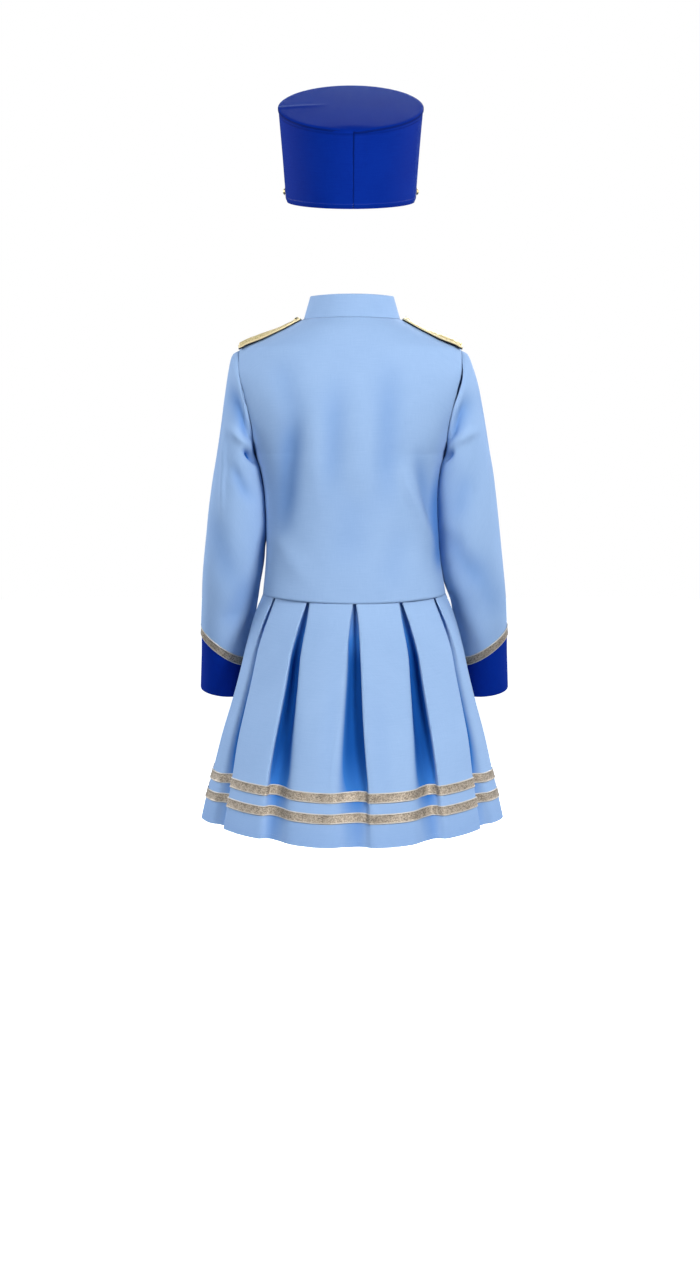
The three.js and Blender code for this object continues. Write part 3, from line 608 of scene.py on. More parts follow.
def sleeve(side):
    """The rings joined by a monotone cubic over the mean distance between them.

    Its troughs get painted shade, and the tip of the fold into the armpit a darker painted shadow.
    """
    rings = sleeve_rings(ROUND_ARM)
    gaps = np.linalg.norm(np.diff(rings, axis=0), axis=-1).mean(axis=1)
    knots = np.concatenate([[0], gaps.cumsum()])
    down = steps(110, knots[-1])
    grid = for_side(through(knots, rings, down * knots[-1]), side)
    keep = (smooth(0, 0.05, down) * (1 - smooth(0.86, 0.95, down)))[:, None]
    creases = SLEEVE_CREASES[side]
    # painted shadow under the tip of the fold into the armpit, painted shade in the troughs
    tip = smooth(*TIP, -crease_height(grid, creases, True, keep))
    deep = SLEEVE_PAINTED_SHADE * painted_trough_shade(grid, creases, True, keep) + TIP_PAINTED_SHADOW * tip
    grid = pressed(creased(grid, creases, True, keep), side)
    grid = rolled(grid, ["low"], True, deep=0.14)
    return wall(f"costume_sleeve_{side}", swayed(grid), CLOTH, closed=True, deep=deep)


def cuff(side):
    """From the slanted seam down to the lower edge, z + out cos a - back sin a."""
    top = cuff_line(ROUND_ARM)[None, :] - SEAM_GAP
    end = (CUFF_END["z"] + CUFF_END["out"] * np.cos(ROUND_ARM)
           - CUFF_END["back"] * np.sin(ROUND_ARM))[None, :]
    grid = forearm(top + (end - top) * steps(26, 70)[:, None], ROUND_ARM[None, :])
    grid = rolled(for_side(grid, side), ["high"], True, deep=0.5, wide=0.9)
    return wall(f"costume_cuff_{side}", swayed(grid), FIRM, closed=True)


# %% [markdown]
# ## Braid
# The gold braid is a flat woven tape with a corded edge on each side. Its section is a profile
# carried along the cloth below it: two raised cords and a slightly hollow middle. Its own UV
# map has the length in metres, and 0 to 1 across, so the material can draw the edges.

# %% Braid helper
def braid_profile(v):
    """Height over the cloth: 0.55 mm, and 0.4 mm more in two cords near v = 0.08 and 0.92."""
    return 0.55 + 0.4 * (bell(v, 0.08, 0.05) + bell(v, 0.92, 0.05)) - 0.12 * np.sin(math.pi * v)


def braid(name, under, lift, closed=True):
    """A tape on a grid of the cloth (rows across the tape): p + n (lift + profile)."""
    v = np.linspace(0, 1, len(under))
    normal = square_to(under, closed)
    outer = under + normal * (lift + braid_profile(v))[:, None, None]
    uv = thread_uv(under, closed)
    uv[..., 1] = v[:, None]
    return wall(name, outer, 0.5, closed, uv, inner=under + normal * lift)


def cuff_braid(side):
    """Rows 5.75 mm above to 5.75 mm below the cuff's seam."""
    d = np.linspace(CUFF_BRAID / 2, -CUFF_BRAID / 2, 17)[:, None]
    grid = forearm(cuff_line(ROUND_ARM)[None, :] + d, ROUND_ARM[None, :])
    return braid(f"costume_cuff_braid_{side}", swayed(for_side(grid, side)), 0.7)


arms = {side: (sleeve(side), cuff(side), cuff_braid(side)) for side in ("right", "left")}
for side, pieces in arms.items():
    print(side, "sleeve, cuff, braid:", [round(area_of(p), 4) for p in pieces], "m2")

# %% [markdown]
# ## Skirt
# Twelve inverted box pleats hang from the waist seam. Between two panels the cloth turns in,
# runs to the pleat's heart and comes back. At the seam the folds are pressed shut; towards the
# hem they open and soften. So the section is a polyline round the waist, drawn at each height
# from a table, and then smoothed more the lower it is. Each pleat has a row of its own for how
# far it opens, how deep it falls and to which side its softer edge lies.

# %% Skirt tables
SKIRT = table(
    "t wide deep mouth fold tuck fold_in heart_in",
    (0, 114, 88, 0.006, 0.36, 1, 5, 6), (0.08, 123.5, 95, 0.125, 0.34, 1, 8, 11),
    (0.215, 135, 104, 0.215, 0.3, 1, 11, 15), (0.34, 143.5, 112, 0.255, 0.27, 1, 13, 18),
    (0.47, 153, 121, 0.295, 0.24, 1, 14, 20), (0.62, 165, 132, 0.36, 0.22, 0.8, 12.5, 20),
    (0.776, 175.7, 143.3, 0.44, 0.25, 0.3, 9, 15),
    (0.819, 178.8, 146.3, 0.455, 0.26, 0.1, 8.2, 13.5),
    (0.862, 181.7, 149.2, 0.47, 0.265, -0.1, 7.6, 12.2),
    (0.904, 184.6, 152, 0.48, 0.275, -0.3, 7, 11.2), (1, 190.5, 158, 0.5, 0.3, -0.6, 6, 9.5))
PLEATS = table(  # soft: -1 to 1, which edge rolls; tilt: of the panel after it; place: its drift
    "opening depth soft tilt place",
    (0.98, 1.0, -0.8, 0.4, -0.02), (0.84, 1.05, -1, -0.5, 0.085), (0.62, 0.9, 0.9, 0.6, 0.18),
    (1.0, 0.95, -0.6, -0.3, 0.04), (1.06, 1.0, 0.7, 0.5, -0.03), (0.94, 1.02, 0.9, -0.6, 0.03),
    (1.0, 0.97, 0.6, 0.3, -0.02), (1.05, 1.0, -0.7, 0.5, 0.03), (0.96, 1.04, -0.9, -0.5, -0.04),
    (1.02, 0.96, 0.7, 0.6, -0.05), (0.62, 0.9, -0.9, -0.4, -0.15), (0.8, 1.06, 1, 0.5, -0.08))
DROP, DROP_BACK, DROP_FRONT, SKIRT_SHIFT = 271, 20, 12, 3
BRAIDS = {"upper": (0.776, 0.819), "lower": (0.862, 0.904)}  # shares of the length
PLEAT_COUNT, PER_PLEAT = 12, 40
PANEL_BOW = 1.4  # mm that the middle of a panel stands out at the hem
HEART_SHIFT = 0.45  # of half a pleat's mouth, away from its soft edge
CRISP, SOFT_ROUND, SOFT_IN = 0.7, 2.0, 3.0  # widths of the running means, in points
# a pleat's stations: heart, fold, edge, middle of the panel, edge, fold, heart
STATIONS = np.array([0, 0.12, 0.24, 0.5, 0.76, 0.88, 1])
SKIRT_LINES = steps(84, 290)

# %% [markdown]
# Smoothing is a running mean with Gauss weights along each ring. Two versions are worked out, a
# crisp and a soft one, and each point takes its share of both: crisp at the pressed edge near
# the seam, soft at the rolled edge and near the hem.

# %% Skirt surface
def gauss_ring(values, sigma):
    """Periodic running mean with weights e^-(k/sigma)^2/2 along axis 1."""
    reach = np.arange(-int(3 * sigma) - 1, int(3 * sigma) + 2)
    weights = np.exp(-0.5 * (reach / sigma) ** 2)
    return sum(w * np.roll(values, k, axis=1) for w, k in zip(weights / weights.sum(), reach))


def softened(values, share, soft):
    """Crisp and soft running mean, mixed by a share."""
    return gauss_ring(values, CRISP) * (1 - share) + gauss_ring(values, soft) * share


def fold_place(size, half, soft_side, open_share):
    """Where the inner fold lies: tucked behind a crisp edge, short of a rolled one."""
    tucked = np.maximum(size["fold"] / 2, half + 0.1 * size["tuck"])
    opened = tucked + (0.5 * half - tucked) * soft_side
    return size["fold"] / 2 + (opened - size["fold"] / 2) * open_share


def after(column):
    """The same column for the next pleat round the ring."""
    return np.roll(column, -1, axis=1)


def pleat_stations(size, t):
    """Place along the ring and depth inward of the seven stations of every pleat.

    A pleat drifts to its own place below the seam, and most of that drift goes by the hem.
    """
    opening, depth, soft, tilt, place = (PLEATS[c][None, :] for c in PLEATS)
    open_share = smooth(0.03, 0.3, t)
    here = place * (smooth(0, 0.25, t) * (1 - 0.7 * smooth(0.4, 1, t)))
    half = size["mouth"] / 2 * opening
    shift = -HEART_SHIFT * soft * half
    fold, fold_back = (fold_place(size, half, (1 + s) / 2, open_share) for s in (soft, -soft))
    fold_in, heart_in, lean = size["fold_in"] * depth, size["heart_in"] * depth, tilt * t
    there = after(here)
    at = [here + shift, here + fold, here + half, 0.5 + (here + there) / 2,
          1 + there - after(half), 1 + there - after(fold_back), 1 + there + after(shift)]
    return at, [heart_in, fold_in, lean, -PANEL_BOW * t, -lean, after(fold_in), after(heart_in)]


def along_ring(stations, s):
    """Straight lines between a pleat's stations, all pleats end to end."""
    rows = np.stack(np.broadcast_arrays(*stations), axis=-1)
    return np.array([np.concatenate([np.interp(s, STATIONS, pleat) for pleat in row])
                     for row in rows])


def skirt_rings(t):
    """Ring at share t of the length: x = (wide - in) cos a, y = (deep - in) sin a.

    The waist seam rises to the sides, and the hem hangs lower behind and in front. Also
    gives painted shade by how deep each point lies in its pleat, weaker towards the hem.
    """
    t = t[:, None]
    size = {c: look(SKIRT, "t", t[:, 0], c)[:, None] for c in SKIRT if c != "t"}
    s = np.arange(PER_PLEAT) / PER_PLEAT
    at, inward = (along_ring(stations, s) for stations in pleat_stations(size, t))
    number = np.repeat(np.arange(PLEAT_COUNT), PER_PLEAT)[None, :]
    place = np.tile(s, PLEAT_COUNT)[None, :]
    even = np.arange(number.size)[None, :] * PLEAT_COUNT / number.size
    soft = PLEATS["soft"][number]
    roll = (np.where(place < 0.4, soft, 0)
            - np.where(place > 0.6, np.roll(soft, -PER_PLEAT, axis=1), 0))
    share = np.clip(smooth(0.05, 0.7, t) * (0.45 + 0.55 * roll), 0, 1)
    share = gauss_ring(np.maximum(share, smooth(0.55, 1, t) * 0.4), SOFT_ROUND)
    offset = softened(number + at - even, share, SOFT_ROUND)
    inward = softened(inward, share, SOFT_IN)
    angle = -math.pi / 2 + (even + offset) * 2 * math.pi / PLEAT_COUNT
    sine = np.sin(angle)
    drop = np.where(sine < 0, DROP_BACK, DROP_FRONT)
    rise = WAIST_RISE * np.cos(angle) ** 2 * (1 - smooth(0, 0.4, t))
    x = (size["wide"] - inward) * np.cos(angle) + SKIRT_SHIFT * (1 - smooth(0.1, 1, t))
    grid = points(x, (size["deep"] - inward) * sine,
                  WAIST + rise - (DROP + drop * sine**2 - 0.15 * inward) * t)
    # painted shade in the pleats: weaker just below the seam and towards the hem
    pleat_shade_fade = (0.5 + 0.5 * smooth(0.12, 0.26, t)) * (1 - 0.62 * smooth(0.58, 0.92, t))
    return grid, smooth(1.5, 14, inward) * pleat_shade_fade


SKIRT_CREASES = [
    ("back", -22, -440, -30, -560, 9, -0.9), ("back", 32, -470, 40, -590, 10, -0.8),
    ("back", 74, -430, 96, -520, 9, -0.9), ("back", -70, -480, -88, -590, 10, -0.9),
    ("front", 26, -450, 34, -570, 10, -0.9), ("front", -70, -470, -90, -580, 10, -0.8),
    ("right", 20, -460, 26, -580, 9, -0.8), ("left", -22, -450, -30, -570, 9, -0.8)]

# painted shade: the skirt's colour darkens towards the hem, where the light falls off
HEM_PAINTED_SHADE = 0.08


def skirt():
    """Rings from the hem up to the waist, creased, with the waist edge turned in."""
    t = SKIRT_LINES[::-1]
    grid, deep = skirt_rings(t)
    # painted shade of the hem and of the creases, over that of the pleats
    painted_hem_shade = HEM_PAINTED_SHADE * smooth(0.75, 1, t)[:, None]
    deep = np.maximum(deep, painted_trough_shade(grid, SKIRT_CREASES, True) + painted_hem_shade)
    grid = rolled(creased(grid, SKIRT_CREASES, True), ["high"], True, deep=0.1, wide=1.0)
    return wall("costume_skirt", grid, CLOTH, closed=True, deep=deep)


def skirt_rows(*shares):
    """Creased rings of the skirt at some shares of its length."""
    return creased(skirt_rings(np.array(shares))[0], SKIRT_CREASES, True)


skirt_piece = skirt()
skirt_braids = [braid(f"costume_braid_{where}", skirt_rows(*np.linspace(high, low, 17)), 0.6)
                for where, (low, high) in BRAIDS.items()]
print("skirt:", round(area_of(skirt_piece), 4), "m2,", len(skirt_piece.data.polygons), "faces")

# %% [markdown]
# ## Stitches
# A stitch is a short thread that shows between two holes. Hundreds of them are one mesh: each
# is the same small bar of eight corners, placed by whole arrays along a line on the cloth.

# %% Stitch helper
BAR = np.array([(x, y, z) for x in (-1, 1) for y in (-1, 1) for z in (0, 1)], float)
BAR_FACES = np.array([(0, 1, 3, 2), (4, 6, 7, 5), (0, 4, 5, 1), (2, 3, 7, 6), (0, 2, 6, 4),
                      (1, 5, 7, 3)])


def stitches(name, line, normal, pitch=3.0, thread=0.22):
    """Bars of 0.62 pitch along a line of points, each standing thread/2 above the cloth."""
    run = np.concatenate([[0], np.linalg.norm(np.diff(line, axis=0), axis=-1).cumsum()])
    middle = np.arange(pitch / 2, run[-1], pitch)
    centre, up, ahead = (np.stack([np.interp(middle + d, run, v[:, i]) for i in range(3)], -1)
                         for v, d in ((line, 0), (normal, 0), (line, 0.5)))
    ahead = ahead - centre
    ahead /= np.maximum(np.linalg.norm(ahead, axis=-1, keepdims=True), 1e-9)
    side = np.cross(up, ahead)
    size = np.array([0.31 * pitch, thread, 0.75 * thread])
    corner = BAR * size
    verts = (centre[:, None] + corner[None, :, :1] * ahead[:, None]
             + corner[None, :, 1:2] * side[:, None] + corner[None, :, 2:] * up[:, None])
    faces = (BAR_FACES[None] + 8 * np.arange(len(middle))[:, None, None]).reshape(-1, 4)
    return make_mesh(name, verts.reshape(-1, 3), [faces], flat=(0,))


def line_on(grid, closed=True):
    """The middle row of three rows of a grid, with its normals, closed if asked."""
    normal = square_to(grid, closed)[1]
    line = grid[1]
    if closed:
        line, normal = (np.concatenate([v, v[:1]]) for v in (line, normal))
    return line, normal


hem_stitches = stitches("costume_hem_stitches", *line_on(skirt_rows(0.983, 0.98, 0.977)))
lap = swayed(front_grid)
lap_line, lap_normal = (grid[4:-4, -8] for grid in (lap, square_to(lap)))
lap_stitches = stitches("costume_front_stitches", lap_line, lap_normal)
print("stitches:", len(hem_stitches.data.polygons) // 6, "on the hem,",
      len(lap_stitches.data.polygons) // 6, "on the front edge")

# %% [markdown]
# ## Epaulettes
# Each shoulder has a stiff board: dark felt below, a padded gold face above, and a round cord
# of bullion along its edge. From behind only the edge shows, a pale gold line over a dark one.
# The board follows the shoulder, whose height over a place in plan is found by halving.

# %% Epaulette boards
BOARD = {"out": 137.5, "back": -24, "front": 27, "bend": 132, "base_in": 62, "face_in": 63.5,
         "lift": 0.5, "base": 0.8, "gap": 0.2, "face": 0.9}
BULLION = {"inset": 1.2, "above": 2.2, "radius": 1.25, "lay": 2.6, "points": 420}


def shoulder_height(x, y):
    """Halve the range of z until (x/wide)^(2/r) + (y/depth)^(2/r) is 1."""
    shape = np.shape(x + y)
    x, y = (np.broadcast_to(v, shape).ravel() for v in (x, y))
    low, high = np.full(x.size, -75.0), np.full(x.size, float(NECK["top"]))
    back_side = y < 0
    for _ in range(24):
        z = (low + high) / 2
        depth, wide, power = oval(y, z)
        inside = (np.abs(x) / wide) ** (2 / power) + (np.abs(y) / depth) ** (2 / power) <= 1
        low, high = np.where(inside, z, low), np.where(inside, high, z)
    fade = smooth(NECK["fade_from"], NECK["top"], low) * (np.abs(y) / depth) ** (2 / power)
    lift = np.where(back_side, NECK["up_back"], -NECK["down_front"])
    return (low + fade * lift).reshape(shape)


def board_grid(inner, edge, long=44, across=37):
    """Rows from collar to shoulder tip, columns from front to back over the shoulder."""
    x = np.linspace(inner, BOARD["out"] - edge, long)[:, None]
    s = (x - BOARD["base_in"]) / (BOARD["out"] - BOARD["base_in"])
    ease = np.sqrt(np.minimum(1, 0.25 + 2.5 * s))
    side = np.linspace(1, -1, across)[None, :]
    y = np.abs(side) * np.where(side < 0, BOARD["back"] + edge, BOARD["front"] - edge) * ease
    near = np.minimum(x, BOARD["bend"])
    return points(x, y, shoulder_height(near, y) - (x - near) * 0.5 + 2 * s * s), side

def raised(grid, height):
    """p + n height."""
    return grid + square_to(grid) * np.asarray(height)[..., None]


def cord(name, path, radius, lay, strands=3, around=12):
    """Closed twisted cord: ring radius r (1 + 0.04 cos(strands angle - 2 pi run / lay))."""
    ahead = np.roll(path, -1, axis=0) - np.roll(path, 1, axis=0)
    ahead /= np.linalg.norm(ahead, axis=-1, keepdims=True)
    side = np.cross(ahead, [0.3, 0, 1.0])
    side /= np.linalg.norm(side, axis=-1, keepdims=True)
    up = np.cross(side, ahead)
    run = np.linalg.norm(np.roll(path, -1, axis=0) - path, axis=-1).cumsum()
    twist = 2 * math.pi * round(run[-1] / lay) * (run / run[-1])[:, None]
    a = np.linspace(0, 2 * math.pi, around, endpoint=False)[None, :]
    r = radius * (1 + 0.04 * np.cos(strands * a - twist))
    grid = (path[:, None] + (r * np.cos(a))[..., None] * side[:, None]
            + (r * np.sin(a))[..., None] * up[:, None])
    corner = cells(*r.shape)[:, [0, 3, 2, 1]] % r.shape
    return make_mesh(name, grid.reshape(-1, 3), [corner[..., 0] * around + corner[..., 1]])


def epaulette(side):
    """Base and padded face as walls on the board's grid, and the cord round the face's edge."""
    base = raised(board_grid(BOARD["base_in"], 0)[0], BOARD["lift"] + BOARD["base"])
    base = wall(f"costume_epaulette_base_{side}", swayed(for_side(base, side)), BOARD["base"])
    face, across = board_grid(BOARD["face_in"], 2.0)
    ribs = 0.35 * np.abs(np.sin(across * math.pi * 4.5)) * (1 - np.abs(across) ** 6)
    along = np.linspace(0, 1, len(face))[:, None]
    swell = 1.7 + 2.6 * smooth(0.3, 0.7, along) * (1 - 0.5 * smooth(0.8, 1, along))
    pad = swell * (1 - np.abs(across) ** 4) + ribs
    face = raised(face, sum(BOARD[c] for c in ("lift", "base", "gap", "face")) + pad)
    face = wall(f"costume_epaulette_face_{side}", swayed(for_side(face, side)), BOARD["face"])
    edge = raised(board_grid(BOARD["face_in"], BULLION["inset"])[0],
                  BOARD["lift"] + BULLION["above"])
    path = np.concatenate([edge[0], edge[1:-1, -1], edge[-1, ::-1], edge[-2:0:-1, 0],
                           edge[0, :1]])
    dense = np.linspace(0, len(path) - 1, BULLION["points"], endpoint=False)
    path = np.stack([np.interp(dense, np.arange(len(path)), axis) for axis in path.T], -1)
    path = swayed(for_side(path[None], side))[0]
    rope = cord(f"costume_epaulette_cord_{side}", path, BULLION["radius"], BULLION["lay"])
    return base, face, rope


boards = {side: epaulette(side) for side in ("right", "left")}
print("epaulette:", [len(p.data.polygons) for p in boards["right"]], "faces")

# %% [markdown]
# ## Buttons
# A domed metal button is a profile turned round its axis: a flat foot, a thin rim and a dome.
# The profile is a short table of radius and height, as shares of the button's own size.

# %% Buttons
BUTTON_PROFILE = through(
    np.arange(9.0), np.array([(0, 0), (0.7, 0), (0.97, 0.02), (1, 0.16), (0.95, 0.3), (0.84, 0.32),
                              (0.62, 0.74), (0.34, 0.94), (0, 1)], float), np.linspace(0, 8, 33))


def button(name, foot, direction, radius, dome, around=28):
    """p = foot + r (u cos a + v sin a) + h w, w the direction the button faces."""
    w = np.array(direction, float) / np.linalg.norm(direction)
    u = np.cross([0, 1, 0] if abs(w[1]) < 0.9 else [1, 0, 0], w)
    u /= np.linalg.norm(u)
    v = np.cross(w, u)
    a = np.linspace(0, 2 * math.pi, around, endpoint=False)[None, :, None]
    r, h = BUTTON_PROFILE[1:-1, 0, None, None] * radius, BUTTON_PROFILE[1:-1, 1, None, None] * dome
    grid = foot + r * (u * np.cos(a) + v * np.sin(a)) + h * w
    corner = cells(len(grid) - 1, around)
    quads = corner[..., 0] * around + corner[..., 1] % around
    j, last, hub = np.arange(around), (len(grid) - 1) * around, np.full(around, len(grid) * around)
    k = (j + 1) % around
    fans = [np.stack([hub, k, j], -1), np.stack([hub + 1, last + j, last + k], -1)]
    verts = np.concatenate([grid.reshape(-1, 3), [foot, foot + dome * w]])
    return make_mesh(name, verts, [quads, np.concatenate(fans)])


FRONT_BUTTONS = {"count": 6, "first": -48, "last": -322, "above": 0.45, "radius": 7, "dome": 4}
BOARD_BUTTON = {"x": 68.5, "above": 4.2, "slope": math.radians(26), "radius": 4.5, "dome": 1.9}


def front_button(number):
    """One of the row down the centre line, square to the cloth."""
    first, last, count = (FRONT_BUTTONS[c] for c in ("first", "last", "count"))
    z = np.array([0.0, 8.0]) + first + (last - first) * (number - 1) / (count - 1)
    here, above = swayed(bodice_points(z, np.zeros((2, 1)), 1))[:, 0]
    out = np.array([0, above[2] - here[2], here[1] - above[1]])
    out /= np.linalg.norm(out)
    return button(f"costume_front_button_{number}", here + out * FRONT_BUTTONS["above"], out,
                  FRONT_BUTTONS["radius"], FRONT_BUTTONS["dome"])


def board_button(side):
    """Near the collar end of the board, square to the shoulder's slope."""
    x, slope, sign = BOARD_BUTTON["x"], BOARD_BUTTON["slope"], PRESS[side]["sign"]
    high = shoulder_height(np.array([x]), np.array([0.0]))[0]
    high += BOARD_BUTTON["above"] / math.cos(slope)
    foot = swayed(np.array([[[x * sign, 0, high]]]))[0, 0]
    return button(f"costume_epaulette_button_{side}", foot,
                  (math.sin(slope) * sign, 0, math.cos(slope)),
                  BOARD_BUTTON["radius"], BOARD_BUTTON["dome"])


front_buttons = [front_button(n + 1) for n in range(FRONT_BUTTONS["count"])]
board_buttons = {side: board_button(side) for side in ("right", "left")}
print("buttons:", len(front_buttons) + len(board_buttons))

# %% [markdown]
# ## Hat
# The hat is a drum that widens upward and is worn tipped back, so its rings are tilted planes.
# The side band has one seam at the back and a stitched hem; the lid is a crowned oval whose
# edge dips a little over that seam. Peak and strap are plain, because the back hides them.

# %% Hat
HAT = {"x": -1.5, "seam": 2.2, "low": (12, 80, 92, 141.7, 12.3), "high": (2.5, 89.2, 96, 255, 33)}
BAND_RADIUS, HAT_WALL = 95, 2.0
LID = {"radius": 92, "wall": 1.9, "proud": 1.008, "above": 2.5, "crown": 1.6}
TALL = {"side": 113.3, "more": 20.7}  # the band is shorter behind and longer in front


def hat_points(angle, up):
    """Oval rings between the low and the high one, y and z on the ring's tilted plane."""
    y, wide, deep, z, tilt = (a + (b - a) * up for a, b in zip(HAT["low"], HAT["high"]))
    dent = 1.6 * up * up * bell(np.degrees(angle), -90, 13)
    reach = deep * np.sin(angle) + dent
    return points(HAT["x"] + wide * np.cos(angle), y + reach, z + tilt * reach / deep)


def band_length(angle):
    """Slant length of the band from its lower edge to the lid."""
    return TALL["side"] + TALL["more"] * np.sin(angle)


def hat_above(angle, above):
    """A point of the band at a height over its lower edge."""
    return hat_points(angle, above / band_length(angle))


HAT_CREASES = [("back", -52, 232, -44, 165, 20, -0.9), ("back", 36, 236, 52, 170, 22, -0.8),
               ("back", -18, 236, -12, 190, 14, -0.5), ("front", -30, 260, -40, 190, 20, -0.8),
               ("front", 44, 262, 38, 200, 20, -0.7), ("right", -20, 240, -10, 170, 20, -0.6),
               ("left", 30, 245, 20, 175, 20, -0.6)]


def hat_side():
    """The band from one edge of the back seam round to the other, hem below, ridge above.

    deep draws two thin lines: at the back seam, and where the band is sewn to the lid.
    """
    slit = 0.01 / BAND_RADIUS
    around = (math.radians(HAT["seam"] - 90) + slit
              + (2 * math.pi - 2 * slit) * steps(210, 540)[None, :])
    up = steps(66, 113)[:, None]
    grid = creased(hat_points(around, up), HAT_CREASES, keep=1 - smooth(0.8, 1, up))
    above, below = (share * band_length(around) for share in (up, 1 - up))
    # the hem is turned up to a stitched groove, and a ridge runs below the lid's seam
    hem = 0.5 * smooth(7.5, 6, above) - 0.45 * bell(above, 7, 0.8) - 1.6 * bell(above, 0, 3.2)
    ridge = 0.55 * bell(below, 1.6, 1.3) - 0.4 * bell(below, 4.4, 1.0)
    grid = rolled(raised(grid, hem + ridge), ["first", "last"], deep=0.4, wide=0.8)
    seam = np.minimum(around - around[:, :1], around[:, -1:] - around) * BAND_RADIUS
    line = np.maximum(0.8 * bell(seam, 0, 0.45), 0.5 * bell(below, 4.4, 0.6))
    return wall("costume_hat_side", grid, HAT_WALL, deep=line)


def hat_lid():
    """Rings r from the middle to the edge: height + crown (1 - r^2), rounded over at the rim.

    The edge is pinched over the back seam, one soft fold lies to the left, and deep draws
    the seam line near the rim.
    """
    r = np.concatenate([[0.012], 1 - steps(38, LID["radius"], (True, False))[::-1][1:]])[:, None]
    angle = -math.pi / 2 - np.linspace(0, 2 * math.pi, 200, endpoint=False)[None, :]
    angle = np.where(angle < -math.pi * 1.5, angle + 2 * math.pi, angle)
    edge = hat_points(angle, np.ones_like(r))
    centre = np.array([HAT["x"], HAT["high"][0], HAT["high"][3]])
    grid = centre + (edge - centre) * (r * LID["proud"])[..., None]
    x, y, inward = grid[..., 0], grid[..., 1], (1 - r) * LID["radius"]
    crown = LID["crown"] * (1 - r**2) - 1.5 * bell(inward, 0, 1.6)
    pinch = -2.0 * bell(inward, 0, 8) * bell(np.degrees(angle), -88, 14)
    fold = 0.7 * bell(y - 0.12 * x, 8, 5) * smooth(-20, -60, x)
    grid[..., 2] += LID["above"] + crown + pinch + fold
    flat = np.concatenate([grid, grid[:, :1]], axis=1)[..., :2] * MM
    edge_line = 0.5 * smooth(0.986, 0.997, r) + 0 * angle
    return wall("costume_hat_top", grid, LID["wall"], True, flat,
                inner=grid - [0, 0, LID["wall"]], pole=True, deep=edge_line)


PEAK = {"first": 32, "turn": 116, "foot": 4, "reach": 40, "above": 3, "slope": 0.16,
        "curve": 0.002}
STRAP = {"first": 7, "last": 173, "low": 8, "high": 16, "lift": 0.8}
HAT_BUTTON = {"above": 12, "out": 0.5, "radius": 4.4, "dome": 2.6}


def hat_peak():
    """From the foot on the band outward: away (cos, sin), falling slope d + curve d^2."""
    share = steps(60, 150)[None, :]
    angle = np.radians(PEAK["first"] + PEAK["turn"] * share)
    reach = PEAK["foot"] + PEAK["reach"] * np.sin(math.pi * share) ** 0.75
    away = 1.2 + reach * steps(26, 44)[:, None]
    out = points(np.cos(angle) * 0.8, np.sin(angle), 0)
    out /= np.linalg.norm(out, axis=-1, keepdims=True)
    grid = hat_above(angle, PEAK["above"]) + out * away[..., None]
    grid[..., 2] -= PEAK["slope"] * away + PEAK["curve"] * away**2
    grid = raised(grid[:, ::-1], HAT_WALL / 2)
    return wall("costume_hat_peak", rolled(grid, ["high"], deep=0.5), HAT_WALL)


def hat_strap():
    """A tape on the front half of the band."""
    angle = np.radians(np.linspace(STRAP["first"], STRAP["last"], 120))[None, :]
    above = np.linspace(STRAP["low"], STRAP["high"], 15)[:, None]
    return braid("costume_hat_strap", hat_above(angle, above), STRAP["lift"], closed=False)


def hat_button(side):
    """At the end of the strap, on the side of the band."""
    sign = PRESS[side]["sign"]
    foot = hat_above(np.array([[0.0 if sign > 0 else math.pi]]), HAT_BUTTON["above"])[0, 0]
    return button(f"costume_hat_button_{side}", foot + [sign * HAT_BUTTON["out"], 0, 0],
                  (sign, 0, -0.09), HAT_BUTTON["radius"], HAT_BUTTON["dome"])


hat_pieces = {"hat_side": hat_side(), "hat_top": hat_lid(), "hat_peak": hat_peak(),
              "hat_strap": hat_strap()}
hat_pieces.update({f"hat_button_{side}": hat_button(side) for side in ("right", "left")})
hem_turn = math.radians(HAT["seam"] - 90) + 2 * math.pi * np.linspace(0.003, 0.997, 240)
hat_rows = hat_points(hem_turn[None, :], np.array([0.06, 0.063, 0.066])[:, None])
hat_line, hat_normal = line_on(hat_rows, False)
hat_stitches = stitches("costume_hat_stitches", hat_line + hat_normal * 0.12, hat_normal)
print("hat:", {k: len(p.data.polygons) for k, p in hat_pieces.items()})

# %% [markdown]
# ## Cloth material
# The dress is a matt plain weave with slightly uneven threads. Three things make it cloth and
# not paint: a fine weave in the bump, streaks along both threads in the colour, and a soft
# sheen at grazing angles from the fibre ends. All read the UV map, so they follow the threads.
# Over them lies painted shade: the attribute deep turns the colour to darker blues in the
# troughs and in the hearts of the pleats.

# %% Node helpers
def new_material(name, roughness, metallic=0.0):
    """A material with its Principled shader; constants go straight on the shader's sockets."""
    material = bpy.data.materials.new(name)
    material.use_nodes = True
    shader = material.node_tree.nodes["Principled BSDF"]
    shader.inputs["Roughness"].default_value = roughness
    shader.inputs["Metallic"].default_value = metallic
    return material, material.node_tree, shader


def node(tree, kind, inputs=None, **settings):
    """Adds a node, sets its settings, and fills or links its inputs."""
    made = tree.nodes.new(kind)
    for key, value in settings.items():
        setattr(made, key, value)
    for key, value in (inputs or {}).items():
        if isinstance(value, bpy.types.NodeSocket):
            tree.links.new(value, made.inputs[key])
        else:
            made.inputs[key].default_value = value
    return made


def maths(tree, operation, a, b=0.0, c=0.0):
    """One Math node's output."""
    return node(tree, "ShaderNodeMath", {0: a, 1: b, 2: c}, operation=operation).outputs[0]


def stretched(tree, source, scale):
    """Coordinates multiplied by a scale for each axis."""
    return node(tree, "ShaderNodeMapping", {"Vector": source, "Scale": scale}).outputs[0]


def noise(tree, source, scale, detail=2.0):
    """Noise of one tone, 0 to 1, on stretched coordinates."""
    return node(tree, "ShaderNodeTexNoise", {"Vector": stretched(tree, source, scale),
                                             "Scale": 1.0, "Detail": detail}).outputs["Fac"]


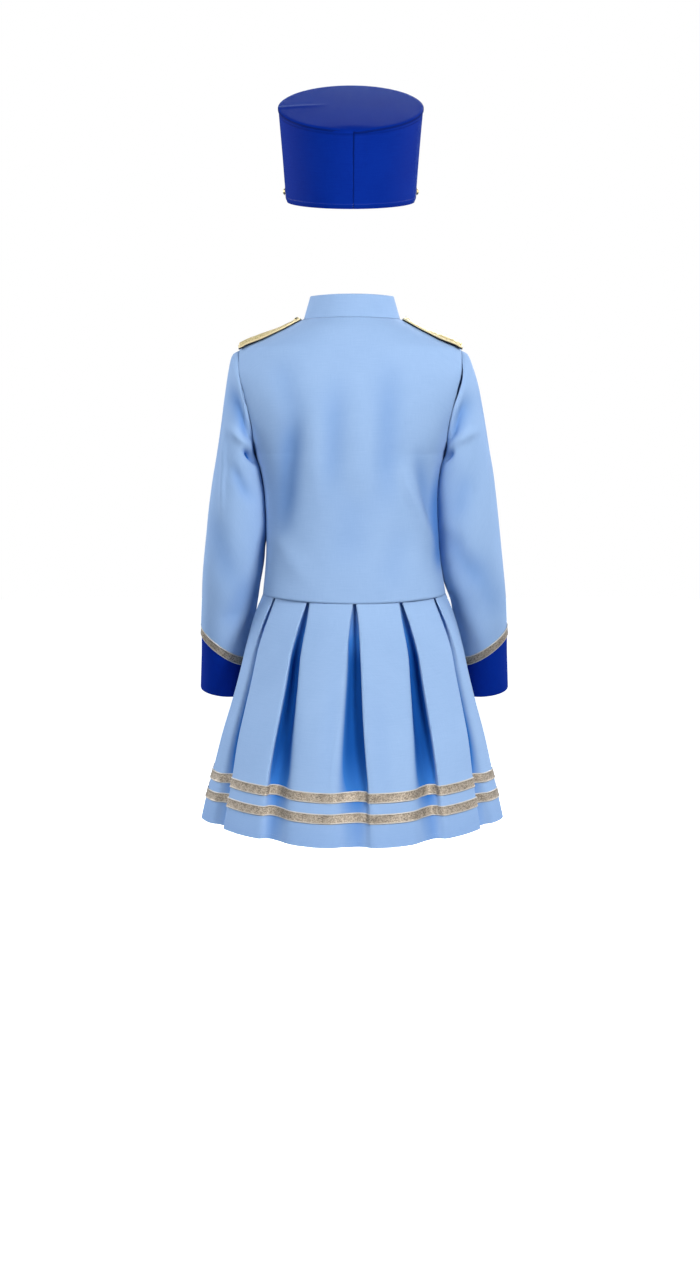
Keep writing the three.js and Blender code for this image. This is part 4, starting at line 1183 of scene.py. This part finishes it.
def ranged(tree, value, low, high):
    """0 at low, 1 at high."""
    return node(tree, "ShaderNodeMapRange", {"Value": value, "From Min": low,
                                             "From Max": high}).outputs[0]


def blend(tree, share, dark, light):
    """Colour between two by a share; each is a colour or another node's output."""
    ends = {key: end if isinstance(end, bpy.types.NodeSocket) else (*end, 1)
            for key, end in (("A", dark), ("B", light))}
    return node(tree, "ShaderNodeMix", {"Factor": share, **ends},
                data_type="RGBA").outputs["Result"]


def coat(tree, shader, colour, height, strength, distance):
    """Colour and bump to the shader."""
    tree.links.new(colour, shader.inputs["Base Color"])
    bump = node(tree, "ShaderNodeBump", {"Height": height, "Strength": strength,
                                         "Distance": distance})
    tree.links.new(bump.outputs[0], shader.inputs["Normal"])


# %% Cloth
def cloth(name, dark, light, inside, roughness, sheen, haze, tint, gloss,
          thread=0.55, relief=0.35):
    """Colour from streaks along warp and weft, bump from sin(u) and sin(v) threads.

    inside holds two darker colours of painted shade: of a trough, where the attribute deep is
    0.5, and of the heart of a pleat, where it is 1. On the hat they draw thin dark seam lines.
    """
    material, tree, shader = new_material(name, roughness)
    uv = node(tree, "ShaderNodeUVMap", uv_map="threads").outputs[0]
    warp = noise(tree, uv, (1400, 60, 1), 3)
    weft = noise(tree, uv, (45, 1100, 1), 3)
    cloud = noise(tree, uv, (14, 14, 1), 2)
    streak = maths(tree, "MULTIPLY_ADD", warp, 0.45, maths(tree, "MULTIPLY", weft, 0.55))
    tone = maths(tree, "MULTIPLY_ADD", cloud, 0.35, maths(tree, "MULTIPLY", streak, 0.65))
    colour = blend(tree, ranged(tree, tone, 0.34, 0.66), dark, light)
    fold = node(tree, "ShaderNodeAttribute", attribute_name="deep").outputs["Fac"]
    # painted shade: the colour turns to the darker blues where deep is high
    for painted_shade_colour, start in zip(inside, (0, -1)):
        colour = blend(tree, maths(tree, "MULTIPLY_ADD", fold, 2, start), colour, painted_shade_colour)
    apart = node(tree, "ShaderNodeSeparateXYZ", {"Vector": uv}).outputs
    turns = 2 * math.pi / (thread * MM)
    waves = [maths(tree, "SINE", maths(tree, "MULTIPLY", apart[i], turns)) for i in (0, 1)]
    height = maths(tree, "MULTIPLY_ADD", maths(tree, "MULTIPLY", *waves), 0.3, streak)
    coat(tree, shader, colour, height, relief, 0.00025)
    shader.inputs["Specular IOR Level"].default_value = gloss
    shader.inputs["Sheen Weight"].default_value = sheen
    shader.inputs["Sheen Roughness"].default_value = haze
    shader.inputs["Sheen Tint"].default_value = (*tint, 1)
    return material


# its two inside colours are painted shade, of the troughs and of the pleats' hearts
sky_cloth = cloth("sky blue suiting", (0.285, 0.43, 0.68), (0.335, 0.488, 0.74),
                  ((0.035, 0.18, 0.54), (0.001, 0.075, 0.33)), roughness=0.85,
                  sheen=0.2, haze=0.35, tint=(0.6, 0.75, 1), gloss=0.2)
royal_cloth = cloth("royal blue suiting", (0.0006, 0.018, 0.235), (0.0012, 0.026, 0.29),
                    ((0.0005, 0.012, 0.14), (0.0003, 0.005, 0.06)), roughness=0.8,
                    sheen=0.6, haze=0.15, tint=(0.3, 0.52, 1.0), gloss=0.05)

# %% [markdown]
# ## Gold braid, felt and brass
# Metallic braid is thousands of tiny foil facets, each turned its own way. Cells of a Voronoi
# texture stand for them: the cell's value sets its height, so the light catches one and misses
# the next, and also its colour tone, a painted glint that lights some facets and darkens others.
# The two edge cords are plainer and paler.

# %% Braid, felt, brass
RIB = 0.0011  # metres from one rib of the tape to the next


def foil(name, dark, light, edge, cells_per_metre, width):
    """Voronoi cells on (length, width) in metres; with an edge colour near v = 0 and 1."""
    material, tree, shader = new_material(name, 0.5, 0.25)
    uv = node(tree, "ShaderNodeUVMap", uv_map="threads").outputs[0]
    flat = stretched(tree, uv, (cells_per_metre, cells_per_metre * width, 1))
    cell = node(tree, "ShaderNodeTexVoronoi", {"Vector": flat, "Scale": 1.0},
                voronoi_dimensions="2D")
    value = node(tree, "ShaderNodeSeparateXYZ", {"Vector": cell.outputs["Color"]}).outputs[0]
    cloud = noise(tree, uv, (90, 90 * width, 1), 1)
    # partly random tone, partly painted glints: the cell's value lightens or darkens its colour as
    # if its facet caught or missed the light
    tone = maths(tree, "MULTIPLY_ADD", cloud, 0.5, maths(tree, "MULTIPLY", value, 0.6))
    along, across = node(tree, "ShaderNodeSeparateXYZ", {"Vector": uv}).outputs[:2]
    rib = maths(tree, "SINE", maths(tree, "MULTIPLY", along, 2 * math.pi / RIB))
    tone = maths(tree, "MULTIPLY_ADD", rib, 0.14, ranged(tree, tone, 0.15, 0.9))
    colour = blend(tree, tone, dark, light)
    if edge:
        far = maths(tree, "ABSOLUTE", maths(tree, "SUBTRACT", across, 0.5))
        colour = blend(tree, ranged(tree, far, 0.375, 0.41), colour, edge)
    coat(tree, shader, colour, value, 0.6, 0.0004)
    return material


def plain(name, dark, light, scale, roughness, metallic, relief):
    """Noise on Object coordinates, for small pieces without a thread direction."""
    material, tree, shader = new_material(name, roughness, metallic)
    place = node(tree, "ShaderNodeTexCoord").outputs["Object"]
    tone = noise(tree, place, (scale, scale, scale), 3)
    coat(tree, shader, blend(tree, tone, dark, light), tone, relief, 0.0003)
    return material


# dark and light ends of the painted glints, then the edge cords' own colour
CHAMPAGNE = (0.13, 0.097, 0.068), (0.53, 0.44, 0.34), (0.6, 0.555, 0.5)
gold_braid = foil("champagne foil braid", *CHAMPAGNE, 900, 0.0125)
strap_braid = foil("champagne strap braid", *CHAMPAGNE, 900, 0.008)
board_braid = foil("yellow gold lace", (0.55, 0.41, 0.15), (0.98, 0.82, 0.45), None, 700, 1)
bullion = plain("yellow bullion cord", (0.70, 0.53, 0.22), (0.98, 0.86, 0.56),
                900, 0.45, 0.25, 0.25)
felt = plain("navy felt", (0.006, 0.008, 0.02), (0.018, 0.022, 0.045), 1500, 0.95, 0.0, 0.6)
brass = plain("polished brass", (0.50, 0.37, 0.16), (0.80, 0.64, 0.34), 260, 0.32, 1.0, 0.08)
sky_thread = plain("sky thread", (0.22, 0.37, 0.66), (0.30, 0.45, 0.74), 1200, 0.7, 0.0, 0.3)
royal_thread = plain("royal thread", (0.004, 0.02, 0.2), (0.008, 0.04, 0.33), 1200, 0.6, 0.0, 0.3)
print("materials:", len(bpy.data.materials))

# %% [markdown]
# ## Dressing the frame
# Each made piece rides on the one body and stands for its CAD node. For cloth, the size it
# was cut to is printed beside its mesh area.

# %% Dress
def dress(piece, material, slot, *nodes):
    """Material, body and replaced nodes in one call; slot is not used."""
    piece.data.materials.append(material)
    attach(piece, "root")
    if nodes:
        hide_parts(*nodes)
    return piece


for piece, name in ((back, "bodice_back"), (front_right, "bodice_front_right"),
                    (front_left, "bodice_front_left"), (collar, "collar"),
                    (skirt_piece, "skirt")):
    dress(piece, sky_cloth, "sky_cloth", name)
for piece, where in zip(skirt_braids, BRAIDS):
    dress(piece, gold_braid, "gold_braid", f"skirt_braid_{where}")
dress(hem_stitches, sky_thread, "sky_cloth")
dress(lap_stitches, sky_thread, "sky_cloth")
for side in ("right", "left"):
    sleeve_piece, cuff_piece, braid_piece = arms[side]
    dress(sleeve_piece, sky_cloth, "sky_cloth", f"sleeve_{side}")
    dress(cuff_piece, royal_cloth, "royal_cloth", f"cuff_{side}")
    dress(braid_piece, gold_braid, "gold_braid", f"cuff_braid_{side}")
    base, face, rope = boards[side]
    dress(base, felt, "dark_felt", f"epaulette_base_{side}")
    dress(face, board_braid, "yellow_braid", f"epaulette_face_{side}")
    dress(rope, bullion, "yellow_braid", f"epaulette_face_{side}")
    dress(board_buttons[side], brass, "gold_button", f"epaulette_button_{side}")
for number, piece in enumerate(front_buttons, 1):
    dress(piece, brass, "gold_button", f"front_button_{number}")
HAT_LOOKS = {"hat_strap": (strap_braid, "gold_braid"), "hat_button_right": (brass, "gold_button"),
             "hat_button_left": (brass, "gold_button")}
for name, piece in hat_pieces.items():
    dress(piece, *HAT_LOOKS.get(name, (royal_cloth, "royal_cloth")), name)
dress(hat_stitches, royal_thread, "royal_cloth")

# %% [markdown]
# The cut sizes are those of the flat pieces before sewing, in metres. The area is smaller than
# width times length where the piece is shaped, as at an armhole.

# %% Sheets
CUT = {  # width, length, area of the cut
    "back": (0.33, 0.36, 0.108), "front": (0.19, 0.36, 0.056), "collar": (0.345, 0.028, None),
    "sleeve": (0.27, 0.42, 0.074), "cuff": (0.2, 0.085, 0.0125), "skirt": (1.18, 0.29, None)}


def declare(piece, kind):
    width, length, area = CUT[kind]
    print(f"{piece.name}: cut {area or width * length:.4f} m2, mesh {area_of(piece):.4f} m2")


declare(back, "back")
declare(front_right, "front")
declare(front_left, "front")
declare(collar, "collar")
declare(skirt_piece, "skirt")
for side in ("right", "left"):
    sleeve_piece, cuff_piece, braid_piece = arms[side]
    declare(sleeve_piece, "sleeve")
    declare(cuff_piece, "cuff")

# %% [markdown]
# ## Studio
# The picture is high key: a white ground, broad soft light from both sides of the camera and a
# little from above. Floor and surroundings are white to the camera only. The floor sends no
# light to the cloth and the surroundings a dim blue, so the folds stay deep, and the area
# lights give the cloth its form. The camera stands level with the neck seam and looks 5.5
# degrees down.

# %% Stage, light and camera
def area_light(name, place, target, size, power, colour=(1, 1, 1)):
    """A square soft light at a place, turned to a target."""
    data = bpy.data.lights.new(name, "AREA")
    data.size, data.energy, data.color = size, power, colour
    lamp = bpy.data.objects.new(name, data)
    bpy.context.scene.collection.objects.link(lamp)
    lamp.location = place
    ray = np.array(target, float) - np.array(place, float)
    yaw, flat = math.atan2(ray[1], ray[0]), math.hypot(ray[0], ray[1])
    lamp.rotation_euler = (math.atan2(flat, -ray[2]), 0, yaw - math.pi / 2)
    return lamp


FLOOR = {"z": -1110, "thick": 4}
reach = np.linspace(20, 9000, 24)[:, None]
turn = np.linspace(0, -2 * math.pi, 96, endpoint=False)
above, below = (points(reach * np.cos(turn), reach * np.sin(turn), z + 0 * reach)
                for z in (FLOOR["z"], FLOOR["z"] - FLOOR["thick"]))
floor = wall("studio_floor", above, FLOOR["thick"], True, inner=below, pole=True)
white, _, white_shader = new_material("white floor", 0.9)
for socket, value in (("Base Color", (0.9, 0.9, 0.9, 1)), ("Emission Color", (1, 1, 1, 1)),
                      ("Emission Strength", 1.0)):
    white_shader.inputs[socket].default_value = value
floor.data.materials.append(white)
floor.visible_diffuse = floor.visible_glossy = False
floor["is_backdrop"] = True

world = bpy.data.worlds.new("white studio")
bpy.context.scene.world = world
world.use_nodes = True
studio = world.node_tree
dim = studio.nodes["Background"]
dim.inputs["Color"].default_value = (0.38, 0.64, 1, 1)
dim.inputs["Strength"].default_value = 0.2
seen = node(studio, "ShaderNodeBackground", {"Color": (1, 1, 1, 1), "Strength": 1.0})
by_camera = node(studio, "ShaderNodeLightPath").outputs["Is Camera Ray"]
pick = node(studio, "ShaderNodeMixShader", {"Fac": by_camera, 1: dim.outputs[0],
                                            2: seen.outputs[0]})
studio.links.new(pick.outputs[0], studio.nodes["World Output"].inputs["Surface"])

WARM = (1, 0.985, 0.95)
for light in (("key right", (1.9, -2.7, 1.0), (0, 0, -0.3), 1.0, 110, WARM),
              ("fill left", (-2.1, -2.7, 0.5), (0, 0, -0.25), 1.0, 55, WARM),
              ("top", (0.2, -0.2, 2.6), (0, 0, 0), 1.2, 3),
              ("rim back right", (2.3, 1.2, 0.5), (0, 0, -0.2), 1.2, 38),
              ("rim back left", (-2.3, 1.2, 0.5), (0, 0, -0.2), 1.2, 50),
              ("front of the costume", (0.6, 3.2, 1.4), (0, 0, -0.2), 1.4, 90)):
    area_light(*light)

CAMERA = {"place": (-0.0025, -4.13, 0.0), "down": 5.47, "lens": 94.18}
camera_data = bpy.data.cameras.new("camera")
camera_data.sensor_width, camera_data.lens = 36, CAMERA["lens"]
camera_data.clip_start, camera_data.clip_end = 0.1, 60
camera = bpy.data.objects.new("camera", camera_data)
bpy.context.scene.collection.objects.link(camera)
camera.location = CAMERA["place"]
camera.rotation_euler = (math.radians(90 - CAMERA["down"]), 0, 0)
bpy.context.scene.camera = camera
bpy.context.scene.view_settings.view_transform = "Standard"

# %% [markdown]
# ## Check of size
# The finished costume has to stay in the CAD box, but for the little that cloth stands proud.

# %% Size and finish
triangles = {o.name: sum(len(p.vertices) - 2 for p in o.data.polygons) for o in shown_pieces()}
print("triangles:", sum(triangles.values()), "largest", max(triangles, key=triangles.get),
      max(triangles.values()))
VISUAL_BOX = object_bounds()
for name, cad, seen_at in zip("low high".split(), CAD_BOX, VISUAL_BOX):
    print(name, "corner moved by mm:", [round((b - a) * 1000, 1) for a, b in zip(cad, seen_at)])
